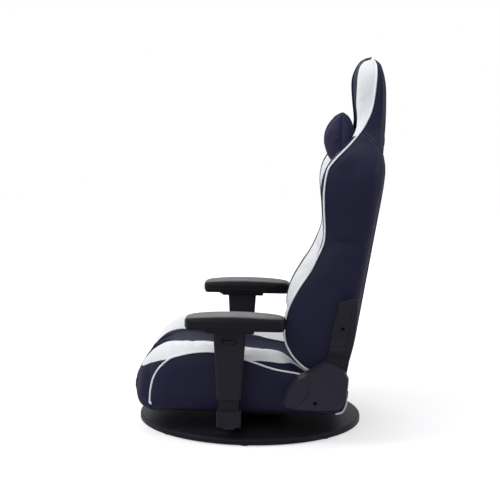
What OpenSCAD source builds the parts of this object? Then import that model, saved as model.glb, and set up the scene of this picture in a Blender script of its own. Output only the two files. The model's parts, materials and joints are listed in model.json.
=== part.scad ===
// Floor gaming chair: a legless seat on a flat swivelling disc, with a reclining
// bucket back, height-adjustable armrests, sliding arm pads and a neck pillow.
// The chair faces -Y and stands on z = 0; the origin is on the swivel axis.

/* [Base disc] */
// Diameter of the floor disc
base_d = 588; // [500:2:680]
// Height of the disc's rolled rim above the floor
base_rim_h = 18; // [15:1:26]
// Rise of the disc from its rim to its flat centre
base_crown = 8; // [5:1:12]
// Wall of the pressed disc
base_wall = 2.5; // [2:0.5:4]
// Radius of the rolled edge
rim_round = 7; // [4:1:9]
// Width of the flange turned in under the rim
flange_w = 34; // [28:1:44]
// Height of the rubber floor pads
pad_h = 3; // [2:0.5:4]
// Diameter of the rubber floor pads
pad_d = 26; // [20:1:28]
// Number of floor pads
pad_count = 8; // [4:1:12]
// Number of ribs under the disc
rib_count = 6; // [4:1:10]

/* [Swivel bearing] */
// Side of the square bearing plates
plate_side = 180; // [160:2:220]
// Wall of the bearing plates
plate_t = 3; // [2:0.5:4]
// Diameter of the circle that the balls run on
ball_circle_d = 132; // [110:2:140]
// Diameter of a ball
ball_d = 9; // [7:1:10]
// Number of balls
ball_count = 20; // [12:1:26]
// Height of the hat-shaped seat mount between bearing and frame
mount_h = 32; // [26:1:44]

/* [Seat] */
// Width over the seat's sides
seat_w = 470; // [440:2:500]
// Length of the seat cushion from nose to rear
seat_l = 553; // [530:1:575]
// Distance of the nose in front of the swivel axis
seat_nose = 298; // [285:1:310]
// Height of the seat cushion's underside above the floor
seat_z = 66; // [60:1:74]
// Height of the seat cushion from underside to bolster crest
seat_h = 180; // [165:1:200]
// Diameter of the frame tubes of the seat
tube_d = 20; // [18:1:22]

/* [Backrest] */
// Length of the back cushion above the recline pivot
back_l = 801; // [740:1:860]
// Lean of the backrest from upright
back_lean = 9; // [5:1:14]
// Height of the recline pivot above the floor
pivot_z = 160; // [156:1:166]
// Distance of the recline pivot behind the swivel axis
pivot_y = 212; // [206:1:218]
// Radius of the cushion's rolled lower end round the pivot
roll_r = 39; // [34:1:41]
// Diameter of the frame tubes of the backrest
back_tube_d = 19; // [16:1:20]
// Thickness of the piping in the seams
piping_d = 4.6; // [3:0.2:5]

/* [Recliner] */
// Thickness of the recliner plates
steel_t = 5; // [3:0.5:6]
// Diameter of the pivot bolts
pivot_d = 16; // [12:1:20]
// Radius over the tips of the locking teeth
sector_r = 37; // [32:1:40]
// Depth of a locking tooth
tooth_h = 2.6; // [1.5:0.1:3]
// Number of locking teeth on the sector
tooth_count = 23; // [18:1:26]
// Length of the recline lever in front of its pin
lever_l = 122; // [100:1:130]
// Depth of the lower hinge cover from the seat's side
cover_depth = 37; // [34:1:42]
// Wall of the plastic covers
cover_wall = 2.5; // [2:0.5:3]

/* [Armrests] */
// Distance of an armrest post from the seat's side
arm_out = 50; // [45:1:65]
// Distance of the posts in front of the swivel axis
arm_y = 40; // [30:1:55]
// Width of the housing at its top
housing_w = 79; // [70:1:90]
// Width of the housing at its foot
housing_foot_w = 59; // [56:1:66]
// Thickness of the housing
housing_t = 34; // [32:1:40]
// Height of the housing
housing_h = 166; // [150:1:180]
// Height of the housing's lower end above the floor
housing_z = 118; // [116:1:124]
// Width of the inner post
post_w = 49; // [42:1:50]
// Thickness of the inner post
post_t = 14; // [12:1:16]
// Length of an arm pad
arm_pad_l = 248; // [220:1:270]
// Width of an arm pad
arm_pad_w = 95; // [85:1:100]
// Thickness of an arm pad with its crown
arm_pad_h = 36; // [28:1:42]
// Length of the pad rail
rail_l = 123; // [110:1:140]

/* [Neck pillow] */
// Width of the neck pillow
pillow_w = 236; // [200:2:250]
// Height of the neck pillow
pillow_h = 132; // [110:1:140]
// Depth of the neck pillow
pillow_d = 74; // [60:1:84]

/* [Hidden] */

// Colours as the photograph shows them
navy = "#2a2a44";
navy_dark = "#22223a";
white_trim = "#e4e4ea";
charcoal = "#2f3036";
black_satin = "#1f2024";
steel_dark = "#3a3c42";
zinc = "#9a9ca2";
rubber_black = "#191919";
webbing_grey = "#4a4a50";

// Clearances and the overrun of every cut
run_fit = 0.05;
slide_fit = 0.3;
soft_gap = 0.5;
over = 1;
half = 1/2;
full_turn = 360;
quarter = 90;

// Facets of circles
disc_steps = 180;
fine = 96;
medium = 48;
plate_steps = 40;
rim_steps = 32;
coarse = 24;
pocket_steps = 16;
nut_sides = 6;

// Bearing stack, from the disc up
disc_top_z = base_rim_h + base_crown;
ball_r = ball_d/2;
ball_circle_r = ball_circle_d/2;
race_w_share = 1.8;
race_h_share = 0.3;
race_dip_share = 0.2;
cage_t_share = 0.14;
race_w = race_w_share*ball_d;
race_h = race_h_share*ball_d;
cage_t = cage_t_share*ball_d;
lower_race_z = disc_top_z + plate_t;
ball_z = lower_race_z + race_h*race_dip_share + ball_r;
upper_race_z = 2*ball_z - lower_race_z;
upper_plate_z = upper_race_z;
mount_z = upper_plate_z + plate_t;
plate_corner = 14;
plate_hole_share = 0.39;
plate_hole_at = plate_hole_share*plate_side;
bolt_d = 8;
bolt_r = bolt_d/2;
bolt_clear = 0.2;
bolt_head_r = 6.8;
bolt_head_h = 3.6;
nut_r = 6.4;
nut_h = 3.2;

// Seat frame, and how far it lies inside the cushion's sides, nose and rear
frame_in = 35;
frame_nose_in = 62;
frame_rear_in = 33;
frame_half_w = seat_w/2 - frame_in;
frame_front = seat_nose - frame_nose_in;
frame_rear = seat_l - seat_nose - frame_rear_in;
frame_z = mount_z + mount_h + tube_d/2;
tube_wall = 1.5;
frame_bend_r = 42;
cross_at = 95;
cross_w = 30;
web_t = 1.2;
web_w = 38;
web_count = 6;
pocket_gap = 3;
pocket_half_w = frame_half_w + tube_d/2 + pocket_gap;
pocket_front = frame_front + tube_d/2 + pocket_gap;
pocket_rear = frame_rear + tube_d/2 + pocket_gap;
pocket_top = frame_z + tube_d/2 + web_t + 2*soft_gap;
cloth_t = 1.5;
mount_in = 68;
mount_half_w = frame_half_w - mount_in;
mount_half_l = 105;
mount_wall = 3;
lip_w = 34;

// Side-to-side stack of the recliner, from the seat's side outwards
side_x = seat_w/2;
back_w = seat_w;
plate_gap = 3;
lower_plate_x = side_x + plate_gap;
upper_plate_x = lower_plate_x + steel_t + 2*slide_fit;
outer_x = upper_plate_x + steel_t + 2*slide_fit;
cover_x = side_x + cover_depth;
arm_x = side_x + arm_out;
ear_t = 4;
ear_x = frame_half_w + tube_d/2;
web_half_w = ear_x - ear_t - soft_gap;

// Places on the lower recliner plate, measured from the pivot: back, up
seat_bolt_low = [-62, -56];
seat_bolt_front = [-104, -56];
cover_screw_at = [-40, -53];
lever_pin_at = [-77, -32];
lever_pin_d = 10;
screw_d = 5;
screw_head_r = 4.4;
screw_head_h = 3;
plate_rim = 11;

// Places on the backrest, measured along it from the pivot: back, up
back_bolts_at = [[8, 105], [8, 185]];
back_screw_at = [3, 137];
back_frame_t = 8;

// Smooth curve through a table of [place, value] pairs
function span(x, t, i = 0) = (i >= len(t) - 2 || x < t[i + 1][0]) ? i : span(x, t, i + 1);
function steep(t, i) =
    let (a = max(i - 1, 0), b = min(i + 1, len(t) - 1))
    (t[b][1] - t[a][1])/(t[b][0] - t[a][0]);
function curve(x, t) =
    let (i = span(x, t), h = t[i + 1][0] - t[i][0], u = min(max((x - t[i][0])/h, 0), 1))
    (2*pow(u, 3) - 3*pow(u, 2) + 1)*t[i][1] + (pow(u, 3) - 2*pow(u, 2) + u)*h*steep(t, i)
    + (3*pow(u, 2) - 2*pow(u, 3))*t[i + 1][1] + (pow(u, 3) - pow(u, 2))*h*steep(t, i + 1);
function mix(a, b, share) = a + (b - a)*share;
function unit(v) = v/norm(v);

// Closed outline of a convex or hollow-sided plate with every corner rounded to radius r
function rounded(points, r, steps = 6) = [
    for (i = [0:len(points) - 1])
        let (
            n = len(points),
            p = points[i],
            a = unit(points[(i + n - 1)%n] - p),
            b = unit(points[(i + 1)%n] - p),
            half_angle = acos(a*b)/2,
            reach = r/tan(half_angle),
            centre = p + unit(a + b)*r/sin(half_angle),
            start = p + a*reach - centre,
            stop = p + b*reach - centre
        )
        for (k = [0:steps])
            let (mid = unit(mix(start, stop, k/steps)))
            centre + mid*r
];

// The same convex outline with every side moved inwards by d
function inset(points, d) = [
    for (i = [0:len(points) - 1])
        let (
            n = len(points),
            p = points[i],
            a = unit(points[(i + n - 1)%n] - p),
            b = unit(points[(i + 1)%n] - p)
        )
        p + unit(a + b)*d/sin(acos(a*b)/2)
];

// Corners of an upright rectangle round the origin
function oblong(x, y) = [[x, -y], [x, y], [-x, y], [-x, -y]];

// The same outline with points added along its long sides
function filled(points, gap) = [
    for (i = [0:len(points) - 1])
        let (
            p = points[i],
            q = points[(i + 1)%len(points)],
            n = max(1, round(norm(q - p)/gap))
        )
        for (k = [0:n - 1]) mix(p, q, k/n)
];

// Skin over a list of closed rings with the same number of points, capped at both ends
module skin(rings) {
    n = len(rings[0]);
    m = len(rings);
    points = concat(
        [for (ring = rings) for (p = ring) p],
        [centroid(rings[0]), centroid(rings[m - 1])]
    );
    sides = [
        for (i = [0:m - 2]) for (j = [0:n - 1])
            let (k = (j + 1)%n)
            each [[i*n + j, i*n + k, (i + 1)*n + k], [i*n + j, (i + 1)*n + k, (i + 1)*n + j]]
    ];
    first = [for (j = [0:n - 1]) [m*n, (j + 1)%n, j]];
    last = [for (j = [0:n - 1]) [m*n + 1, (m - 1)*n + j, (m - 1)*n + (j + 1)%n]];
    polyhedron(points, concat(sides, first, last));
}
function centroid(ring) = sum(ring)/len(ring);
function sum(list, i = 0) = i == len(list) - 1 ? list[i] : list[i] + sum(list, i + 1);

// Round cord along a path, its rings carried forward without twist
function heading(path, i) = unit(path[min(i + 1, len(path) - 1)] - path[max(i - 1, 0)]);
function carried(path, side, i = 0, done = []) =
    i == len(path) ? done :
    let (t = heading(path, i), s = unit(side - t*(side*t)))
    carried(path, s, i + 1, concat(done, [s]));
module cord(path, r, side, sides = 6) {
    across = carried(path, side);
    skin([
        for (i = [0:len(path) - 1])
            let (up = cross(across[i], heading(path, i)))
            [for (k = [0:sides - 1])
                let (a = full_turn*k/sides)
                path[i] + r*(cos(a)*across[i] + sin(a)*up)]
    ]);
}

// Copies on both sides, or mirrored to the right-hand side
module both_sides() {
    children();
    mirror([1, 0, 0]) children();
}
module mirrored() {
    mirror([1, 0, 0]) children();
}

// Moves a piece drawn with y across the back and z along it to the leaning backrest
module on_back() {
    translate([0, pivot_y, pivot_z]) rotate([-back_lean, 0, 0]) children();
}
// Moves a piece drawn round the pivot, upright, to the recline pivot
module at_pivot() {
    translate([0, pivot_y, pivot_z]) children();
}
// Turns an outline of [back, up] points into a plate standing off the seat's side
module side_plate(x, t) {
    translate([x, 0, 0]) rotate([90, 0, 90]) linear_extrude(t) children();
}
// Rod along X from x, centred on a [back, up] place
module side_rod(x, l, r, at = [0, 0], fn = medium) {
    translate([x, at[0], at[1]]) rotate([0, 90, 0]) cylinder(h = l, r = r, $fn = fn);
}

// Hollow tube through points of one plane, with bends of one radius
module tube_section(r) {
    difference() {
        circle(r = r, $fn = medium);
        circle(r = r - tube_wall, $fn = medium);
    }
}
module bent_tube(points, bend_r, r, closed = false) {
    n = len(points);
    last = closed ? n - 1 : n - 2;
    first_bend = closed ? 0 : 1;
    for (i = [0:last]) {
        p = points[i];
        q = points[(i + 1)%n];
        d = unit(q - p);
        from = (closed || i > 0) ? bend_reach(points, i, bend_r) : 0;
        to = (closed || i < n - 2) ? bend_reach(points, (i + 1)%n, bend_r) : 0;
        translate([p[0] + d[0]*from, p[1] + d[1]*from, 0])
            rotate([0, 90, atan2(d[1], d[0])])
                linear_extrude(norm(q - p) - from - to) tube_section(r);
    }
    for (i = [first_bend:last]) {
        p = points[i];
        a = unit(points[(i + n - 1)%n] - p);
        b = unit(points[(i + 1)%n] - p);
        half_angle = acos(a*b)/2;
        centre = p + unit(a + b)*bend_r/sin(half_angle);
        inward = centre - p;
        turn = 180 - 2*half_angle;
        translate([centre[0], centre[1], 0])
            rotate([0, 0, atan2(-inward[1], -inward[0]) - turn/2])
                rotate_extrude(angle = turn, $fn = fine)
                    translate([bend_r, 0]) tube_section(r);
    }
}
function bend_reach(points, i, bend_r) =
    let (
        n = len(points),
        a = unit(points[(i + n - 1)%n] - points[i]),
        b = unit(points[(i + 1)%n] - points[i])
    )
    bend_r/tan(acos(a*b)/2);

// Base: floor disc, ribs, pads and the lower half of the bearing

base_r = base_d/2;
flat_r = 110;
flange_z = pad_h;
dome_steps = 8;
// Height of the disc's top surface at radius r
function dome_z(r) =
    r <= flat_r ? disc_top_z :
    disc_top_z - base_crown*pow((r - flat_r)/(base_r - rim_round - flat_r), 2);
module disc_profile() {
    corner = [for (k = [0:dome_steps])
        let (a = quarter*k/dome_steps)
        [base_r - rim_round + rim_round*cos(a), base_rim_h - rim_round + rim_round*sin(a)]];
    top = [for (k = [1:dome_steps])
        let (r = mix(base_r - rim_round, flat_r, k/dome_steps))
        [r, dome_z(r)]];
    under = [for (k = [0:dome_steps])
        let (r = mix(flat_r, base_r - rim_round, k/dome_steps))
        [r, dome_z(r) - base_wall]];
    inner_corner = [for (k = [dome_steps - 1:-1:0])
        let (a = quarter*k/dome_steps, r = rim_round - base_wall)
        [base_r - rim_round + r*cos(a), base_rim_h - rim_round + r*sin(a)]];
    polygon(concat(
        [[0, disc_top_z - base_wall]], under, inner_corner,
        [[base_r - base_wall, flange_z + base_wall], [base_r - flange_w, flange_z + base_wall],
            [base_r - flange_w, flange_z], [base_r, flange_z]],
        corner, top, [[0, disc_top_z]]
    ));
}
module bolt_square(r) {
    for (x = [-1, 1]) for (y = [-1, 1])
        translate([x*plate_hole_at, y*plate_hole_at, 0]) cylinder(h = disc_top_z + mount_z, r = r, $fn = coarse);
}
module base_disc() {
    color(black_satin)
        difference() {
            rotate_extrude($fn = disc_steps) disc_profile();
            bolt_square(bolt_r + bolt_clear);
        }
}
rib_in = 46;
rib_h = 12;
rib_w = 3;
rib_start = rib_in + rib_w/2;
module base_ribs() {
    color(steel_dark)
        union() {
            for (i = [0:rib_count - 1])
                rotate([0, 0, full_turn*(i + half)/rib_count])
                    translate([rib_start, rib_w/2, 0]) rotate([90, 0, 0]) linear_extrude(rib_w) rib_outline();
            translate([0, 0, disc_top_z - base_wall - rib_h])
                rotate_extrude($fn = fine) translate([rib_in, 0]) square([rib_w, rib_h]);
        }
}
// Outline of a rib, its top following the underside of the dome
module rib_outline() {
    top = [for (k = [0:dome_steps])
        let (r = mix(rib_start, base_r - flange_w - slide_fit, k/dome_steps))
        [r - rib_start, dome_z(r) - base_wall - run_fit]];
    end = base_r - flange_w - slide_fit;
    polygon(concat(
        [[end - rib_start, flange_z + base_wall + run_fit],
            [0, disc_top_z - base_wall - rib_h + rib_w/2]],
        top
    ));
}
module floor_pads() {
    color(rubber_black)
        for (i = [0:pad_count - 1])
            rotate([0, 0, full_turn*i/pad_count]) translate([base_r - flange_w/2, 0, 0])
                cylinder(h = pad_h, r = pad_d/2, $fn = coarse);
}

module bearing_square(z, t) {
    translate([0, 0, z]) linear_extrude(t) polygon(rounded(oblong(plate_side/2, plate_side/2), plate_corner));
}
module race(z, up) {
    low = up > 0 ? z : z - race_h;
    translate([0, 0, low]) rotate_extrude($fn = fine)
        translate([ball_circle_r - race_w/2, 0]) square([race_w, race_h]);
}
module ball_track() {
    translate([0, 0, ball_z]) rotate_extrude($fn = fine)
        translate([ball_circle_r, 0]) circle(r = ball_r + run_fit, $fn = medium);
}
eye_r = 30;
module bearing_lower_plate() {
    color(zinc)
        difference() {
            union() {
                bearing_square(disc_top_z, plate_t);
                race(lower_race_z, 1);
            }
            ball_track();
            translate([0, 0, disc_top_z - over]) cylinder(h = plate_t + 2*over, r = eye_r, $fn = medium);
            bolt_square(bolt_r + bolt_clear);
        }
}
module bearing_balls() {
    color(zinc)
        for (i = [0:ball_count - 1])
            rotate([0, 0, full_turn*i/ball_count]) translate([ball_circle_r, 0, ball_z])
                sphere(r = ball_r, $fn = coarse);
}
module bearing_cage() {
    color(steel_dark)
        difference() {
            translate([0, 0, ball_z - cage_t/2]) rotate_extrude($fn = fine)
                translate([ball_circle_r - race_w/2, 0]) square([race_w, cage_t]);
            for (i = [0:ball_count - 1])
                rotate([0, 0, full_turn*i/ball_count]) translate([ball_circle_r, 0, ball_z - cage_t])
                    cylinder(h = 2*cage_t, r = ball_r + run_fit, $fn = coarse);
        }
}
// Bolt pointing up with its head under z and a nut on top of a stack of height grip
module bolt_and_nut(z, grip) {
    translate([0, 0, z - bolt_head_h]) cylinder(h = bolt_head_h, r = bolt_head_r, $fn = coarse);
    translate([0, 0, z - run_fit]) cylinder(h = grip + nut_h, r = bolt_r, $fn = coarse);
    translate([0, 0, z + grip]) cylinder(h = nut_h - run_fit, r = nut_r, $fn = nut_sides);
}
module base_bolts() {
    color(zinc)
        for (x = [-1, 1]) for (y = [-1, 1])
            translate([x*plate_hole_at, y*plate_hole_at, 0])
                bolt_and_nut(disc_top_z - base_wall, base_wall + plate_t);
}

// Seat: upper half of the bearing, mount, frame, webbing and cushion

hub_hole_share = 0.24;
hub_hole_at = hub_hole_share*plate_side;
module hub_holes(r) {
    for (x = [-1, 1]) for (y = [-1, 1])
        translate([x*hub_hole_at, y*hub_hole_at, upper_plate_z - over])
            cylinder(h = mount_h, r = r, $fn = coarse);
}
module bearing_upper_plate() {
    color(zinc)
        difference() {
            union() {
                bearing_square(upper_plate_z, plate_t);
                race(upper_race_z, -1);
            }
            ball_track();
            translate([0, 0, upper_plate_z - over]) cylinder(h = plate_t + 2*over, r = eye_r, $fn = medium);
            hub_holes(bolt_r/2 + bolt_clear);
        }
}
module hub_bolts() {
    color(zinc)
        for (x = [-1, 1]) for (y = [-1, 1]) translate([x*hub_hole_at, y*hub_hole_at, 0]) {
            translate([0, 0, upper_plate_z]) cylinder(h = plate_t + mount_wall, r = bolt_r/2, $fn = coarse);
            translate([0, 0, mount_z + mount_wall])
                cylinder(h = bolt_head_h/2, r = bolt_head_r/2, $fn = coarse);
        }
}
// Hat-shaped mount: web on the bearing, two flanges, and lips under the frame's crossbars
module seat_mount() {
    top = frame_z - tube_d/2;
    color(black_satin)
        difference() {
            union() {
                translate([-mount_half_w, -mount_half_l, mount_z])
                    cube([2*mount_half_w, 2*mount_half_l, mount_wall]);
                both_sides() {
                    translate([mount_half_w - mount_wall, -mount_half_l, mount_z])
                        cube([mount_wall, 2*mount_half_l, top - mount_z]);
                    translate([mount_half_w - mount_wall, -mount_half_l, top - mount_wall])
                        cube([lip_w, 2*mount_half_l, mount_wall]);
                }
            }
            hub_holes(bolt_r/2 + bolt_clear);
            translate([0, 0, mount_z - over])
                cylinder(h = mount_wall + 2*over, r = eye_r, $fn = medium);
            both_sides() for (y = [-half, half])
                translate([mount_half_w - mount_wall - over, y*mount_half_l, mix(mount_z, top, half)])
                    rotate([0, 90, 0]) cylinder(h = mount_wall + 2*over, r = lightening_r, $fn = medium);
        }
}
lightening_r = 9;

function seat_frame_path() = [
    [frame_half_w, -frame_front], [frame_half_w, frame_rear],
    [-frame_half_w, frame_rear], [-frame_half_w, -frame_front]
];
// Box tube from rail to rail
module crossbar(y) {
    translate([-frame_half_w, y, frame_z]) rotate([90, 0, 90]) linear_extrude(2*frame_half_w)
        difference() {
            square([cross_w, tube_d], center = true);
            square([cross_w - 2*tube_wall, tube_d - 2*tube_wall], center = true);
        }
}
drain_r = 2.5;
ear_front = 122;
ear_back = 46;
ear_top = 44;
ear_round = 4;
// Welded tube ring with two box crossbars and an ear on each side for the recliner
module seat_frame() {
    color(steel_dark)
        difference() {
            union() {
                translate([0, 0, frame_z]) bent_tube(seat_frame_path(), frame_bend_r, tube_d/2, true);
                for (y = [-cross_at, cross_at]) crossbar(y);
                both_sides() side_plate(ear_x - ear_t, ear_t)
                    polygon(rounded([
                        [pivot_y - ear_front, frame_z], [pivot_y - ear_back, frame_z],
                        [pivot_y - ear_back, pivot_z - ear_top],
                        [pivot_y - ear_front, pivot_z - ear_top]
                    ], ear_round));
            }
            for (y = [-cross_at, cross_at]) for (x = [-half, half])
                translate([x*frame_half_w, y, frame_z - tube_d])
                    cylinder(h = tube_d, r = drain_r, $fn = coarse);
            both_sides() for (at = [seat_bolt_low, seat_bolt_front])
                side_rod(ear_x - ear_t - over, ear_t + 2*over, bolt_r + run_fit,
                    [pivot_y, pivot_z] + at, coarse);
            both_sides() translate([frame_half_w, -arm_y, frame_z - tube_d])
                cylinder(h = 2*tube_d, r = bolt_r/2 + run_fit, $fn = coarse);
        }
}
module seat_webbing() {
    first = -frame_front + frame_bend_r + web_w;
    last = frame_rear - frame_bend_r - web_w;
    color(webbing_grey)
        for (i = [0:web_count - 1])
            translate([-web_half_w, mix(first, last, i/(web_count - 1)) - web_w/2, frame_z + tube_d/2])
                cube([2*web_half_w, web_w, web_t]);
}

// Outline of the seat seen from above, as [share of length, share of half width]
seat_plan_shares = [[0, 0.64], [0.012, 0.75], [0.036, 0.85], [0.07, 0.915], [0.11, 0.957],
    [0.165, 0.985], [0.3, 1], [0.6, 1], [0.9, 0.99], [0.97, 0.962], [1, 0.91]];
// Heights along the seat, as [share of length, share of seat height]
seat_under_shares = [[0, 0.222], [0.012, 0.122], [0.036, 0.05], [0.07, 0.011], [0.11, 0],
    [0.97, 0], [0.985, 0.011], [1, 0.078]];
seat_piping_shares = [[0, 0.26], [0.036, 0.16], [0.07, 0.11], [0.088, 0.13], [0.098, 0.27],
    [0.11, 0.425], [0.13, 0.567], [0.157, 0.667], [0.184, 0.739], [0.203, 0.772], [0.293, 0.844],
    [0.392, 0.861], [0.53, 0.767], [0.667, 0.639], [0.79, 0.57], [0.83, 0.5]];
seat_crest_shares = [[0, 0.311], [0.012, 0.456], [0.036, 0.589], [0.07, 0.728], [0.108, 0.856],
    [0.165, 0.967], [0.235, 1], [0.38, 1], [0.53, 0.928], [0.655, 0.883], [0.7, 0.845],
    [0.73, 0.775], [0.765, 0.68], [0.795, 0.615], [0.83, 0.55]];
seat_dish_shares = [[0, 0.29], [0.012, 0.43], [0.036, 0.54], [0.07, 0.644], [0.11, 0.728],
    [0.165, 0.772], [0.235, 0.767], [0.38, 0.722], [0.53, 0.672], [0.655, 0.633], [0.72, 0.61],
    [0.795, 0.57], [0.83, 0.53]];
seat_stations_shares = [0, 0.012, 0.036, 0.07, 0.088, 0.098, 0.11, 0.13, 0.157, 0.184, 0.22, 0.27,
    0.33, 0.392, 0.46, 0.53, 0.6, 0.655, 0.7, 0.73, 0.765, 0.795, 0.815, 0.83, 0.842, 0.852, 0.864,
    0.88, 0.9, 0.922, 0.96, 0.985, 1];
// Section of the seat from its middle underneath to its middle on top: share of half width,
// which two heights it lies between, and the share from one to the other
under = 0;
piped = 1;
crest = 2;
dish = 3;
seat_section_shares = [[0, under, piped, 0], [0.5, under, piped, 0], [0.87, under, piped, 0],
    [0.97, under, piped, 0.06], [1, under, piped, 0.45], [0.995, under, piped, 0.93],
    [0.982, piped, crest, 0], [0.962, piped, crest, 0.12], [0.905, piped, crest, 0.66],
    [0.83, piped, crest, 1], [0.75, crest, dish, 0.1], [0.665, crest, dish, 0.5],
    [0.59, crest, dish, 0.9], [0.545, crest, dish, 1.06], [0.505, crest, dish, 0.99],
    [0.25, crest, dish, 0.93], [0, crest, dish, 0.9]];
seat_bow = 24;
bow_end_share = 0.35;
scoop_gap = 3.5;
scoop_r = roll_r + scoop_gap;
rear_rim_share = 0.19;
rear_round = 10;
// The piping runs this far under the scoop, and comes up to it over the last share
seam_under_scoop = 9;
seam_end_share = 0.083;
dish_under_scoop = 1;

function seat_y(u) = u*seat_l - seat_nose;
function seat_height(u, table) = seat_z + seat_h*curve(u, table);
// Highest that the seat may stand under the rolled end of the backrest
function scoop_z(u) =
    let (dy = seat_y(u) - pivot_y)
    dy < -scoop_r ? pivot_z + seat_h :
    pivot_z - (dy < 0 ? sqrt(pow(scoop_r, 2) - pow(dy, 2)) : scoop_r);
// The rear end rounds down from the scoop to the rear rim
function rear_round_z(u) =
    let (d = (1 - u)*seat_l)
    d >= rear_round ? seat_h + pivot_z :
    mix(seat_z + rear_rim_share*seat_h, pivot_z - scoop_r, sqrt(1 - pow(1 - d/rear_round, 2)));
function seat_heights(u) =
    let (
        top = min(scoop_z(u), rear_round_z(u)),
        z0 = seat_height(u, seat_under_shares),
        z1 = min(seat_height(u, seat_piping_shares), top - seam_under_scoop*min(1, (1 - u)/seam_end_share)),
        z2 = min(seat_height(u, seat_crest_shares), top),
        z3 = min(seat_height(u, seat_dish_shares), top - dish_under_scoop)
    )
    [z0, z1, z2, z3];
function seat_bow_at(u, across) = seat_bow*pow(across, 2)*max(0, 1 - u/bow_end_share);
function seat_point(u, q) =
    let (w = seat_w/2*curve(u, seat_plan_shares)*q[0], h = seat_heights(u))
    [w, seat_y(u) + seat_bow_at(u, q[0]), mix(h[q[1]], h[q[2]], q[3])];
function seat_ring(u) =
    let (side = [for (q = seat_section_shares) seat_point(u, q)], n = len(side))
    concat(side, [for (i = [n - 2:-1:1]) [-side[i][0], side[i][1], side[i][2]]]);
module seat_form() {
    skin([for (u = seat_stations_shares) seat_ring(u)]);
}
module seat_pocket() {
    translate([-pocket_half_w, -pocket_front, seat_z - 2*over])
        cube([2*pocket_half_w, pocket_front + pocket_rear, pocket_top - seat_z + 2*over]);
    both_sides() {
        translate([ear_x - ear_t - 2*pocket_gap, pivot_y - ear_front - pocket_gap, seat_z])
            cube([ear_t + 3*pocket_gap, ear_front - ear_back + 2*pocket_gap,
                pivot_z - ear_top + pocket_gap - seat_z]);
        for (at = [seat_bolt_low, seat_bolt_front])
            side_rod(ear_x, side_x - ear_x + pocket_gap, bolt_r + soft_gap,
                [pivot_y, pivot_z] + at, pocket_steps);
    }
}
module seat_cushion() {
    color(navy) difference() {
        seat_form();
        seat_pocket();
    }
}
piping_r = piping_d/2;
piping_clear = 0.8;
piping_lean_share = 0.5;
// A seam's path moved square to itself, so that the piping lies just clear of the cover
function moved_out(path, up, along) = [
    for (i = [0:len(path) - 1])
        let (
            t = heading(path, i),
            out = [1, 0, 0] + piping_lean_share*(up + along*mix(-1, 1, i/(len(path) - 1)))
        )
        path[i] + (piping_r + piping_clear*(1 + abs(t*up)))*unit(out - t*(out*t))
];
seat_piping_first = 4;
seat_seam_point = 6;
function seat_piping_path() = moved_out([
    for (i = [seat_piping_first:len(seat_stations_shares) - 1])
        seat_point(seat_stations_shares[i], seat_section_shares[seat_seam_point])
], [0, 0, 1], [0, 1, 0]);
module seat_piping() {
    color(white_trim) cord(seat_piping_path(), piping_r, [1, 0, 0]);
}
module seat_bottom_cloth() {
    slot_l = bracket_w + 2*pocket_gap;
    color(webbing_grey)
        difference() {
            translate([0, 0, seat_z - cloth_t]) linear_extrude(cloth_t)
                polygon(rounded([
                    [cloth_half_w, -cloth_front], [cloth_half_w, cloth_rear],
                    [-cloth_half_w, cloth_rear], [-cloth_half_w, -cloth_front]
                ], frame_bend_r));
            translate([-mount_half_w - pocket_gap, -mount_half_l - pocket_gap, seat_z - 2*cloth_t])
                cube([2*(mount_half_w + pocket_gap), 2*(mount_half_l + pocket_gap), 3*cloth_t]);
            both_sides() translate([bracket_leg_x - bracket_t/2 - pocket_gap, -arm_y - slot_l/2,
                seat_z - 2*cloth_t])
                cube([bracket_t + 2*pocket_gap, slot_l, 3*cloth_t]);
        }
}
cloth_in = 22;
cloth_over = 23;
cloth_half_w = side_x - cloth_in;
cloth_front = frame_front + cloth_over;
cloth_rear = frame_rear + cloth_over;

// Recliner: plates, pivots, toothed sector, lever and covers

function from_pivot(points) = [for (p = points) [pivot_y, pivot_z] + p];
plate_boss_r = 33;
lower_plate_neck = [-20, 0];
module lower_plate_outline() {
    hull() {
        translate([pivot_y, pivot_z]) circle(r = plate_boss_r, $fn = plate_steps);
        for (at = [seat_bolt_low, cover_screw_at])
            translate([pivot_y, pivot_z] + at) circle(r = plate_rim, $fn = rim_steps);
    }
    hull()
        for (at = [seat_bolt_low, seat_bolt_front, lever_pin_at, lower_plate_neck])
            translate([pivot_y, pivot_z] + at) circle(r = plate_rim, $fn = rim_steps);
}
module lower_plate() {
    color(steel_dark) difference() {
        side_plate(lower_plate_x, steel_t) lower_plate_outline();
        side_rod(lower_plate_x - over, steel_t + 2*over, pivot_d/2, [pivot_y, pivot_z]);
        for (at = [seat_bolt_low, seat_bolt_front])
            side_rod(lower_plate_x - over, steel_t + 2*over, bolt_r + bolt_clear, [pivot_y, pivot_z] + at);
        side_rod(lower_plate_x - over, steel_t + 2*over, screw_d/2 + run_fit,
            [pivot_y, pivot_z] + cover_screw_at, coarse);
        side_rod(lower_plate_x - over, steel_t + 2*over, lever_pin_d/2, [pivot_y, pivot_z] + lever_pin_at);
    }
}
pivot_head_r = 14;
pivot_head_h = 3;
spring_slot_w = 1.9;
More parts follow.
